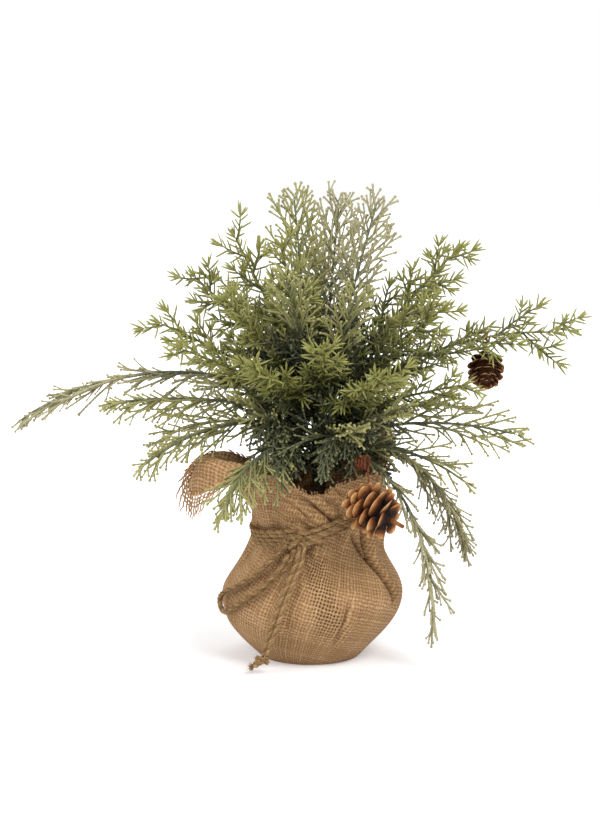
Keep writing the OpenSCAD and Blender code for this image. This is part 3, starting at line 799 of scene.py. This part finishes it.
needleRows = [
    ("needle_top_left", 86, 180, 65, 56, 2, 1, -80, 0.24, 8),
    ("needle_top_front", 86, -126, 70, 51, 0, 1, -40, 0.22, 8),
    ("needle_left_high", 80, 162, 46, 56, 6, 1, 90, 0.24, 8),
    ("needle_left_upper", 77, -149, 50, 47, 6, 1, 50, 0.2, 8),
    ("needle_left_mid", 74, -176, 32, 56, 8, 1, 60, 0.22, 8),
    ("needle_left_front", 69, -155, 30, 51, 10, 1, 50, 0.22, 8),
    ("needle_right_high", 83, 10, 50, 61, 6, 1, 90, 0.24, 8),
    ("needle_right_upper", 74, -24, 42, 51, 6, 1, 80, 0.26, 8),
    ("needle_right_long", 66, -4, 38, 90, 50, 1.2, -30, 0.18, 8),
    ("needle_right_mid", 57, -30, 22, 60, 12, 1, 70, 0.22, 8),
    ("needle_front", 69, -88, 38, 41, 6, 1, 0, 0.26, 8),
    ("needle_front_right", 57, -62, 28, 47, 8, 1, 0, 0.26, 8),
    ("needle_front_left", 60, -120, 32, 45, 8, 1, 0, 0.26, 8),
    ("needle_back_right", 74, 40, 40, 58, 8, 1, 0, 0.26, 8),
    ("needle_back", 66, 84, 32, 55, 8, 1, 0, 0.26, 8),
    ("needle_back_left", 74, 128, 40, 55, 6, 1, 0, 0.26, 8)]

class Stem:
    # a spray's stem, which bends in an upright plane as the CAD's does; t runs from 0 at its foot to 1
    def __init__(self, row):
        (self.name, foot, self.azimuth, self.elevation, length, self.droop, self.power, self.roll,
         self.share, self.count) = row
        self.length = stems["longest"] * length / 100
        radius = stems["tapeRadius"] + stems["footGap"] + stems["stemFoot"] * abs(sind(self.bend(0.5 / 7)))
        self.foot = Vector((stems["trunkX"] + radius * cosd(self.azimuth), radius * sind(self.azimuth),
                            mix(stems["tapeFoot"], stems["tapeTop"], foot / 100)))
        self.route, steps = [self.foot], stems["steps"]
        for i in range(steps):
            self.route.append(self.route[-1] + self.along((i + 0.5) / steps) * self.length / steps)

    def bend(self, t):
        return self.elevation - self.droop * t ** self.power

    def along(self, t):
        b = self.bend(t)
        return Vector((cosd(b) * cosd(self.azimuth), cosd(b) * sind(self.azimuth), sind(b)))

    def spread(self, t):
        b = self.bend(t)
        above = Vector((-sind(b) * cosd(self.azimuth), -sind(b) * sind(self.azimuth), cosd(b)))
        beside = Vector((sind(self.azimuth), -cosd(self.azimuth), 0))
        return beside * cosd(self.roll) + above * sind(self.roll)

    def at(self, t):
        place = clamp(t) * stems["steps"]
        i = min(int(place), stems["steps"] - 1)
        return self.route[i].lerp(self.route[i + 1], place - i)


def rounded(points, radii, growths):
    return [(point * mm, radius, growth) for point, radius, growth in zip(points, radii, growths)]


cedar = {"lift": 6, "close": 0.3, "twigAngle": 26, "segment": 2.3, "thick": 0.82, "thin": 0.6, "bead": 1.0}
# the angle of a spray's shoots, how far they hang, extra shoots between (0 or 1), the twigs' spacing in mm
# and the shoots' length against the usual
usual = (30, 0, 1, 6.6, 1)
habits = {"cedar_left_long": (22, 0.14, 1, 8, 1.1), "cedar_left": (24, 0.2, 1, 7, 1),
          "cedar_left_low": (27, 0.15, 1, 8, 1), "cedar_right": (25, 0, 0, 8, 1),
          "cedar_right_low": (27, 0, 0, 7.5, 1), "cedar_right_droop": (27, 0.2, 1, 5.5, 1.3),
          "cedar_right_hang": (22, 0.1, 1, 6.5, 1.6), "cedar_top_back": (29, 0, 1, 7.5, 1),
          "cedar_top_right": (29, 0, 1, 7.5, 1), "cedar_top_left": (29, 0, 1, 7.5, 1),
          "cedar_front_low": (34, 0.95, 1, 5.5, 1.55)}


def beadedTwig(start, way, face, length, dice, tone, low, high, curl=0.0, thick=1.0, droop=0.0):
    # a twig of small overlapping leaves: it swells and narrows, and ends in a bead
    count = max(2, round(length / cedar["segment"] * 2))
    step, points, radii, grow = length / count, [start], [], []
    turn = turning(curl / count, face)
    sway = turning((dice.gauss(0, 10) - droop) / count, way.cross(face))
    for i in range(count + 1):
        t = i / count
        size = (cedar["thick"] if i % 2 == 0 else cedar["thin"]) * thick * (1.12 - 0.3 * t)
        radii.append(size)
        grow.append((tone, mix(low, high, t), 0))
        if i < count:
            points.append(points[-1] + way * step)
            way = sway @ (turn @ way)
    end = points[-1]
    radii[-1] = cedar["bead"] * (0.75 + 0.25 * thick)
    for far, size in ((0.55, 0.75), (0.95, 0.04)):
        points.append(end + way.normalized() * far)
        radii.append(cedar["bead"] * size)
        grow.append((tone, high + 0.1, 0))
    return rounded(points, radii, grow), points


def cedarStrands(stem, dice):
    # side shoots left and right along the stem, each with twigs of its own
    shootAngle, hang, extra, twigEvery, reaching = habits.get(stem.name, usual)
    strands, count, bare, leafy = [], 26, stems["bare"], stems["last"] - stems["bare"]
    reach = [i / count for i in range(count + 1)]
    radii = [mix(stems["stemFoot"], stems["stemTip"], t) * (1 + 0.12 * (-1) ** i)
             for i, t in enumerate(reach)]
    radii[-1] = 0.05
    strands.append(rounded([stem.at(t) for t in reach], radii,
                           [(0.4, 0.45 * t, 0.8 * (1 - ease(0.15, 0.5, t))) for t in reach]))
    gap = leafy * stem.length / (stem.count - 1)
    between = extra if gap > 3.2 else 0
    places = (stem.count - 1) * (1 + between) + 1
    for i in range(places + 1):
        t = min(bare + leafy * i / (places - 1), 0.995)
        main = i // (1 + between)
        way = 1 if (main + (i % (1 + between))) % 2 == 0 else -1
        if i >= places - 1:
            way = -1 if i == places else 1
        share = sind(180 * (0.16 + 0.72 * (t - bare) / leafy))  # longest near the middle of the stem
        length = stem.length * stem.share * share * reaching * dice.uniform(0.7, 1.16)
        if i % (1 + between):
            length *= 0.8
        angle = shootAngle * dice.uniform(0.8, 1.25)
        spread, along = stem.spread(t), stem.along(t)
        face = along.cross(spread).normalized()
        lift = cedar["lift"] if main % 4 < 2 else -cedar["lift"]
        out = (along * cosd(angle) + spread * way * sind(angle)
               + face * (sind(lift) + dice.gauss(0, 0.2)) - Vector((0, 0, hang)))
        if hang > 0:
            # the shoots of a hanging spray stay below its stem
            out.z = min(out.z, along.z - 0.05)
        out.normalize()
        # painted shade: shoots nearer the trunk, deep in the tree, are darker
        tone, shade = dice.random(), 0.25 + 0.45 * t
        curl = -way * angle * cedar["close"] + dice.gauss(0, 6)
        # the shoot bends back towards the stem's way
        strand, shoot = beadedTwig(stem.at(t), out, face, length, dice, tone, shade, min(shade + 0.45, 1),
                                   curl)
        strands.append(strand)
        twigs, side = int(length / twigEvery), dice.choice((-1, 1))
        for k in range(twigs):
            place = (k + 0.9) / (twigs + 0.7)
            j = min(int(place * (len(shoot) - 4)), len(shoot) - 4)
            base = shoot[j]
            heading = (shoot[j + 1] - base).normalized()
            side = -side
            lean = cedar["twigAngle"] * dice.uniform(0.75, 1.25)
            outward = heading.cross(face).normalized()
            twigWay = (heading * cosd(lean) + outward * side * sind(lean)
                       + face * dice.gauss(0, 0.2)).normalized()
            twigLength = (3.5 + length * 0.42 * (1 - place) ** 0.8) * dice.uniform(0.6, 1.25)
            strand, twig = beadedTwig(base, twigWay, face, twigLength, dice, tone + dice.gauss(0, 0.1),
                                      shade + 0.25 * place, min(shade + 0.5, 1.05), -side * lean * 0.3, 0.88)
            strands.append(strand)
            for m in range(int(twigLength / 7) - 1 if twigLength > 13 else 0):
                # the longest twigs fork again
                j = min(3 + 4 * m, len(twig) - 4)
                heading = (twig[j + 1] - twig[j]).normalized()
                fork = side * (-1) ** m
                small = (heading * 0.8 + heading.cross(face).normalized() * fork * 0.6
                         + face * dice.gauss(0, 0.2)).normalized()
                strands.append(beadedTwig(twig[j], small, face, dice.uniform(3.5, 6), dice, tone,
                                          shade + 0.3, min(shade + 0.55, 1.05), 0, 0.8)[0])
    return strands


inner = {"shoots": 7, "reach": 36, "skirt": 10, "skirtBelow": 152, "drape": 7, "drapeBelow": 146}


def innerStrands(stem, dice):
    # short shoots near the foot, which fill the middle of the tree and are painted dark as the shade there
    strands = []
    for k in range(inner["shoots"]):
        t = mix(3, 26, k / (inner["shoots"] - 1)) / stem.length
        along = stem.along(t)
        spread = turning(dice.uniform(0, 360), along) @ stem.spread(t)
        face = along.cross(spread).normalized()
        angle = dice.uniform(30, 62)
        way = (along * cosd(angle) + spread * sind(angle) + Vector((0, 0, 0.35))).normalized()
        length, tone, side = inner["reach"] * dice.uniform(0.6, 1.1), dice.random(), 1
        strand, shoot = beadedTwig(stem.at(t), way, face, length, dice, tone, 0.0, 0.2, dice.gauss(0, 15))
        strands.append(strand)
        for j in range(2, len(shoot) - 5, 3):
            side = -side
            heading = (shoot[j + 1] - shoot[j]).normalized()
            out = (heading * 0.82 + heading.cross(face).normalized() * side * 0.57
                   + face * dice.gauss(0, 0.3)).normalized()
            strands.append(beadedTwig(shoot[j], out, face, dice.uniform(5, 14), dice, tone, 0.0, 0.28,
                                      thick=0.9)[0])
    for k in range(inner["skirt"] if stem.foot.z < inner["skirtBelow"] else 0):
        # the lowest stems also have short shoots that hang in the neck of the sack, painted dark as the shade
        # there
        turn = stem.azimuth + dice.uniform(-50, 50)
        way = Vector((0.75 * cosd(turn), 0.75 * sind(turn), dice.uniform(-0.75, 0.1)))
        strands += bushyShoot(stem.at(dice.uniform(1, 12) / stem.length), way, dice.uniform(14, 21), dice,
                              0.0, 0.25)
    for k in range(inner["drape"] if stem.foot.z < inner["drapeBelow"] and sind(stem.azimuth) < -0.6 else 0):
        # in front they spill over the rim of the cloth
        turn = dice.uniform(-150, -84)
        way = Vector((0.85 * cosd(turn), 0.85 * sind(turn), dice.uniform(-0.25, 0.2)))
        strands += bushyShoot(stem.at(dice.uniform(25, 42) / stem.length), way, dice.uniform(24, 44), dice,
                              0.05, 0.42, dice.uniform(45, 90))
    return strands


def bushyShoot(start, way, length, dice, low, high, droop=0.0):
    face, tone = way.cross(Vector((0, 0, 1))).normalized().cross(way).normalized(), dice.random()
    strand, shoot = beadedTwig(start, way.normalized(), face, length, dice, tone, low, high,
                               dice.gauss(0, 12), droop=droop)
    strands, side = [strand], 1
    for j in range(2, len(shoot) - 4, 3):
        side = -side
        heading = (shoot[j + 1] - shoot[j]).normalized()
        face = (face - heading * face.dot(heading)).normalized()
        out = heading * 0.9 + heading.cross(face) * side * 0.5 + face * dice.gauss(0, 0.25)
        reach = (4 + 0.3 * length * (1 - j / len(shoot))) * dice.uniform(0.7, 1.2)
        strands.append(beadedTwig(shoot[j], out.normalized(), face, reach, dice, tone, low, high, 0, 0.9)[0])
    return strands


needles = {"every": 1.65, "length": 10.2, "lean": 53, "thick": 0.66, "shoot": 42, "close": 14, "stop": 0.93,
           "tuft": 5, "reach": 1.12, "bend": 0.06}
needleStops = {"needle_right_mid": 0.8, "needle_right_long": 0.83}
needleReach = {"needle_right_long": 1.45, "needle_right_mid": 0.75, "needle_right_high": 1.25}


def needledShoot(points, dice, low, high, stemSize, tipSize, start=0.0):
    # needles in a spiral round a shoot, with a tuft at its tip
    count = len(points) - 1
    strands = [rounded(points, [mix(stemSize, tipSize, i / count) for i in range(count)] + [0.05],
                       [(0.5, mix(low, high, i / count) * 0.7, 0.4) for i in range(count + 1)])]
    sides, turn = sideways(points), dice.uniform(0, 360)
    number = int(routeLength(points) * (1 - start) / needles["every"])
    for k in range(number + needles["tuft"]):
        tuft = k >= number
        t = 1 if tuft else start + (1 - start) * (k + 0.5) / number
        place = min(t * count, count - 0.001)
        i = int(place)
        base = points[i].lerp(points[i + 1], place - i)
        heading = (points[i + 1] - points[i]).normalized()
        across, up = sides[i]
        turn += 360 / needles["tuft"] if tuft else goldenAngle
        lean = needles["lean"] * dice.uniform(0.75, 1.2) * (dice.uniform(0.25, 0.8) if tuft else 1)
        way = heading * cosd(lean) + (across * cosd(turn) + up * sind(turn)) * sind(lean)
        length = needles["length"] * dice.uniform(0.75, 1.2) * (1 - 0.15 * t)
        tone, bend = dice.random(), heading * needles["bend"] * length
        route = [base, base + way * length * 0.35, base + way * length * 0.75 + bend * 0.4,
                 base + way * length + bend]
        radii = [needles["thick"] * share for share in (0.75, 1, 0.85)] + [0.05]
        strands.append(rounded(route, radii, [(tone, mix(low, high, t) + 0.12 * s, 0) for s in range(4)]))
    return strands


def needleStrands(stem, dice):
    # needled side shoots along the stem, and small ones on them
    stop, bare = needleStops.get(stem.name, needles["stop"]), stems["bare"]
    strands = needledShoot([stem.at(stop * i / 40) for i in range(41)], dice, 0.15, 1.0, 1.1, 0.6, 0.14)
    for i in range(stem.count):
        t = bare + (stop - 0.02 - bare) * i / (stem.count - 1)
        way = 1 if i % 2 == 0 else -1
        angle = needles["shoot"] * dice.uniform(0.8, 1.1)
        length = stem.length * stem.share * (1 - 0.55 * (t - bare) / (1 - bare)) * dice.uniform(0.72, 1.0)
        length *= needleReach.get(stem.name, needles["reach"])
        spread, along = stem.spread(t), stem.along(t)
        face = along.cross(spread).normalized()
        heading = (along * cosd(angle) + spread * way * sind(angle) + face * dice.gauss(0, 0.15)).normalized()
        shoot, count = [stem.at(t)], max(4, int(length / 2.5))
        turn = turning(-way * needles["close"] / count, face)
        for k in range(count):
            shoot.append(shoot[-1] + heading * length / count)
            heading = turn @ heading
        # painted shade: shoots nearer the trunk are darker
        strands += needledShoot(shoot, dice, 0.2 + 0.5 * t, 0.4 + 0.6 * t, 0.7, 0.5, 0.08)
        for share, side in ((0.3, 1), (0.55, -1)) if length > 16 else ():
            start = shoot[int(share * count)]
            beside = along.cross(spread).cross(heading).normalized()
            out = (along * cosd(angle * 0.9) + spread * way * sind(angle * 0.9) + beside * side * 0.75
                   + face * dice.gauss(0, 0.3))
            reach = length * (1 - share) * dice.uniform(0.5, 0.8)
            small = [start + out.normalized() * reach * k / 4 for k in range(5)]
            strands += needledShoot(small, dice, 0.25 + 0.5 * t, 0.4 + 0.6 * t, 0.6, 0.45, 0.1)
    return strands


def foliageMaterial(name, stops, frost, stemColour, roughness):
    # plastic leaves, pale at their tip and darker at their foot, and darker still deep in the tree as painted
    # shade, each with a tone of its own, on a woody stem
    material, tree, shader = newMaterial(name, roughness)
    place, tone, tipwardAndShade, wood = readings(tree)
    patches = addNode(tree, "TexNoise", {"Vector": place, "Scale": 22.0, "Detail": 2.0})
    grain = addNode(tree, "TexNoise", {"Vector": place, "Scale": 800.0, "Detail": 2.0})
    toned = addNode(tree, "Math", {0: tone, 1: 0.16, 2: tipwardAndShade}, operation="MULTIPLY_ADD")
    shifted = addNode(tree, "Math", {0: patches, 1: 0.5, 2: toned}, operation="MULTIPLY_ADD")
    lowered = addNode(tree, "Math", {0: shifted, 1: 0.33}, operation="SUBTRACT")
    colour = addNode(tree, "ValToRGB", {0: lowered}, stops=stops)
    # pale powdery bloom in patches
    bloom = addNode(tree, "MapRange", {"Value": grain, "From Min": 0.42, "From Max": 0.7, "To Min": 0.0,
                                       "To Max": frost})
    for factor, over in ((bloom, "A5A888"), (wood, stemColour)):
        colour = addNode(tree, "Mix", {"Factor": factor, "A": colour, "B": over}, "Result", data_type="RGBA")
    paint(tree, shader, colour, grain, 0.4, 0.3)
    return material


# soft polyethylene, moulded in small overlapping leaves: dull, grey-green inside the tree where it is painted
# darker as shade, olive-yellow at the tips
cedarPlastic = foliageMaterial("polyethylene cedar, moulded and frosted",
                               [(0.1, "2B301C"), (0.38, "565836"), (0.62, "7E7E48"), (0.9, "A8A364")], 0.3,
                               "55502F", 0.62)
# the same, with more of the powdery bloom
frostedPlastic = foliageMaterial("polyethylene cedar, pale and frosted",
                                 [(0.1, "2E3323"), (0.38, "5C5E43"), (0.62, "87845D"), (0.9, "B6AE84")], 0.3,
                                 "555335", 0.62)
frosted = ("cedar_right_droop", "cedar_right_hang", "cedar_left_long", "cedar_top_back", "cedar_top_right")
# cut polyvinyl needles: a little glossier and darker
needlePlastic = foliageMaterial("vinyl needles, cut and curled",
                                [(0.1, "252910"), (0.4, "4C5020"), (0.65, "717332"), (0.95, "9F9E56")], 0.1,
                                "4E4A22", 0.5)
for rows, make, material, slot in ((cedarRows, cedarStrands, cedarPlastic, "cedar"),
                                   (needleRows, needleStrands, needlePlastic, "needles")):
    for order, row in enumerate(rows):
        stem, dice = Stem(row), random.Random(len(row[0]) * 100 + order)
        strands = make(stem, dice) + innerStrands(stem, dice)
        finish = frostedPlastic if stem.name in frosted else material
        standFor(strandMesh(stem.name + ".leaves", strands, finish), stem.name, stem.name)
print("foliage done")


# open and close: how far a cone's scales lean to the tip at the foot, and how much more at the tip
frontCone = {"length": 36, "radius": 15, "scales": 46, "open": 4, "close": 62, "blade": 14, "wide": 19.5,
             "narrow": 0.66, "blunt": -0.2, "thick": 0.6, "curl": -0.1, "core": 0.4, "inside": 0.9,
             "unruly": 6, "turn": (-34, -70), "stalk": 8}
hangingCone = {"length": 25, "radius": 12, "scales": 58, "open": -20, "close": 52, "blade": 9.6, "wide": 11.5,
               "narrow": 0.5, "blunt": 0.22, "thick": 0.6, "curl": -0.12, "core": 0.6, "inside": 0.6,
               "unruly": 4, "nod": -44, "stalk": 0}


def addScale(bm, growth, matrix, reach, wide, cone, tone):
    # one woody scale: narrow at its foot, broad and cupped at its blunt tip
    made = bmesh.ops.create_uvsphere(bm, u_segments=14, v_segments=12, radius=1)["verts"]
    for vertex in made:
        x, y, t = vertex.co.x, vertex.co.y, (vertex.co.z + 1) / 2
        broad = (0.45 + 0.75 * t - 0.2 * t * t) * (1 + cone["blunt"] * ease(0.55, 0.95, t))
        up = y * cone["thick"] / 2 * (0.4 + 0.6 * t) + cone["curl"] * reach * t * t
        up += 0.1 * wide * (x * broad) ** 2 + 0.25 * math.sin(x * 7 + tone * 20) * t * y ** 2
        # the third number is 1 on the outer face and less on the face under the next scale, which is painted
        # shade
        vertex[growth] = Vector((tone, t, 1 if y < 0.1 else cone["inside"]))
        vertex.co = matrix @ Vector((reach * t, x * wide / 2 * broad, up))


def makeCone(node, cone, place, material, seed):
    bm, dice = bmesh.new(), random.Random(seed)
    growth = bm.verts.layers.float_vector.new("growth")
    for i in range(cone["scales"]):
        t = (i + 0.5) / cone["scales"]
        shape = math.sqrt(sind(180 * (0.14 + 0.8 * t)))
        foot = (cone["radius"] * cone["core"] * 0.6 * shape, 0, cone["length"] * (0.05 + 0.74 * t))
        matrix = (place @ turning(goldenAngle * i + dice.gauss(0, 4), "Z", 4) @ Matrix.Translation(foot)
                  @ turning(cone["open"] - cone["close"] * t + dice.gauss(0, cone["unruly"]), "Y", 4))
        reach = cone["blade"] * shape * dice.uniform(0.9, 1.04)
        across = cone["wide"] * mix(1, cone["narrow"], t) * shape * dice.uniform(0.85, 1.05)
        addScale(bm, growth, matrix, reach, across, cone, dice.random())
    wide = cone["radius"] * cone["core"]
    for vertex in bmesh.ops.create_uvsphere(bm, u_segments=16, v_segments=12, radius=1)["verts"]:
        height = cone["length"] * (0.02 + 0.43 * (vertex.co.z + 1))
        # the core takes the under colour: painted shade
        vertex[growth] = Vector((0.2, 0.1, 0))
        vertex.co = place @ Vector((vertex.co.x * wide, vertex.co.y * wide, height))
    if cone["stalk"]:
        stalk = bmesh.ops.create_cone(bm, segments=10, radius1=1.2, radius2=1.5, depth=cone["stalk"] + 4,
                                      cap_ends=True)["verts"]
        for vertex in stalk:
            vertex[growth] = Vector((0.4, 0.7, 1))
            vertex.co = place @ (vertex.co + Vector((0, 0, 2 - cone["stalk"] / 2)))
    bmesh.ops.transform(bm, matrix=Matrix.Scale(mm, 4), verts=bm.verts)
    standFor(meshPiece(node + ".scales", bm, material), node, node)


def coneMaterial(name, stops, rim, rimFrom, under):
    # woody cone scales: dry and matt, weathered pale at the rims, darker toward each scale's foot, partly
    # their own colour and partly painted shade in the gaps; the faces under the next scale and the core are
    # painted dark as shade
    material, tree, shader = newMaterial(name, 0.85)
    shader["Specular IOR Level"].default_value = 0.25
    place, tone, tipwardAndShade, outside = readings(tree)
    grain = addNode(tree, "TexNoise", {"Vector": place, "Scale": 420.0, "Detail": 4.0})
    streak = addNode(tree, "Math", {0: grain, 1: 0.24, 2: tipwardAndShade}, operation="MULTIPLY_ADD")
    toned = addNode(tree, "Math", {0: tone, 1: 0.14, 2: streak}, operation="MULTIPLY_ADD")
    lowered = addNode(tree, "Math", {0: toned, 1: 0.22}, operation="SUBTRACT")
    colour = addNode(tree, "ValToRGB", {0: lowered}, stops=stops)
    edge = addNode(tree, "MapRange", {"Value": streak, "From Min": rimFrom, "From Max": rimFrom + 0.08,
                                      "To Max": 0.85})
    rimmed = addNode(tree, "Mix", {"Factor": edge, "A": colour, "B": rim}, "Result", data_type="RGBA")
    # painted shade: faces under the next scale and the core darken toward the under colour
    shaded = addNode(tree, "Mix", {"Factor": outside, "A": under, "B": rimmed}, "Result", data_type="RGBA")
    paint(tree, shader, shaded, grain, 0.6, 0.5)
    return material


openScales = coneMaterial("pine cone, dry open scales", [(0.35, "1E0F08"), (0.58, "6A381B"), (0.78, "B67B45"),
                                                          (0.98, "E2B47C")], "E8C592", 1.06, "2B170C")
darkScales = coneMaterial("larch cone, dark weathered scales",
                          [(0.35, "180D06"), (0.7, "6C4122"), (0.96, "AE6F36")], "D8B484", 0.98, "4A2A15")
frontPlace = (Matrix.Translation((6 + 2 * frontCone["radius"], -sack["neckRadius"] - frontCone["radius"] - 4,
                                  sack["neckHeight"] + frontCone["radius"] * 4 / 3))
              @ turning(frontCone["turn"][0], "Z", 4) @ turning(frontCone["turn"][1], "Y", 4)
              @ Matrix.Translation((0, 0, -frontCone["length"] / 2)))
hangStem = Stem([row for row in needleRows if row[0] == "needle_right_long"][0])
hangPlace = (Matrix.Translation(hangStem.at(0.6) - Vector((0, 0, 8.3 + hangingCone["length"] / 2)))
             @ turning(hangingCone["nod"], "X", 4) @ Matrix.Translation((0, 0, hangingCone["length"] / 2))
             @ turning(180, "Y", 4))
makeCone("front_cone", frontCone, frontPlace, openScales, 31)
makeCone("hanging_cone", hangingCone, hangPlace, darkScales, 32)
print("cones done")


def plainMaterial(name, colours, grainSize, roughness, depth):
    # a plain finish with a fine grain: colours are the dark and light of its mottling, sizes are in mm
    material, tree, shader = newMaterial(name, roughness)
    place = addNode(tree, "TexCoord", {}, "Object")
    grain = addNode(tree, "TexNoise", {"Vector": place, "Scale": 1000 / grainSize, "Detail": 5.0})
    colour = addNode(tree, "ValToRGB", {0: grain}, stops=[(0.3, colours[0]), (0.7, colours[1])])
    paint(tree, shader, colour, grain, 0.5, depth)
    return material


# finishes of the pieces that keep their own shape
finishes = {
    # moulded polypropylene: even, with a soft sheen
    "liner_pot": plainMaterial("polypropylene pot, matt brown", ("33241A", "3F2D21"), 3, 0.55, 0.05),
    # cast cement: grey, dry and rough
    "ballast": plainMaterial("cement, cast and left rough", ("8E8B85", "B5B2AB"), 4, 0.95, 0.8),
    # polyethylene drawn over wire: brown, uneven and dull
    "trunk": plainMaterial("polyethylene trunk over wire", ("3B2A1C", "5A4430"), 5, 0.6, 0.3),
    # waxed paper crepe: dark green, with a fine crepe grain
    "stem_tape": plainMaterial("floral tape, waxed crepe", ("2A2F19", "464C2A"), 2.5, 0.8, 0.3),
    # paper round wire: rust brown and matt
    "front_cone_pick": plainMaterial("florist wire, paper covered", ("6A3418", "97522C"), 1.5, 0.8, 0.1),
    # enamel on thin wire: brown, and it catches the light a little
    "cone_hanger": plainMaterial("florist wire, brown enamel", ("6A3416", "94502A"), 1.5, 0.45, 0.05)}
for node, finish in finishes.items():
    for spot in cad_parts[node].material_slots:
        spot.material = finish

pick = {"foot": (9.5, -4.2, 126), "rim": (27.5, -33.1, 127), "end": (36, -53, 112), "wire": 0.42, "lay": 4.5,
        "step": 0.7, "coilTurns": 4, "coilRadius": 4.2, "coilPitch": 1.9, "coilWay": (0.94, -0.26, 0.1)}


def pickStrands():
    # two papered wires twisted together from the tape to the rim, wound into a coil there, then to the cone
    foot, rim, end = (Vector(pick[key]) for key in ("foot", "rim", "end"))
    up, axis = Vector((0, 0, 1)), Vector(pick["coilWay"]).normalized()
    coilFoot, beside = rim.lerp(end, 0.12) + up, axis.cross(up)
    points = [foot.lerp(coilFoot, k / 5) + up * 1.5 * sind(36 * k) for k in range(5)]
    for k in range(pick["coilTurns"] * 12 + 1):
        around = 30 * k - 90
        points.append(coilFoot + axis * pick["coilPitch"] * k / 12
                      + (beside * cosd(around) + up * (sind(around) + 1)) * pick["coilRadius"])
    points += [points[-1].lerp(end, 0.5), end]
    route = smoothRoute([point * mm for point in points], pick["step"] * mm, 3)
    strands = []
    for ply in range(2):
        strand = []
        for i, (point, (across, above)) in enumerate(zip(route, sideways(route))):
            turn = 360 * (ply / 2 + i * pick["step"] / pick["lay"])
            offset = (across * cosd(turn) + above * sind(turn)) * pick["wire"] * mm
            strand.append((point + offset, pick["wire"], (0.5, 0, 0)))
        strands.append(strand)
    return strands


pickPiece = strandMesh("front_cone_pick.twisted", pickStrands(), finishes["front_cone_pick"])
standFor(pickPiece, "root", "front_cone_pick")
print("finishes done")
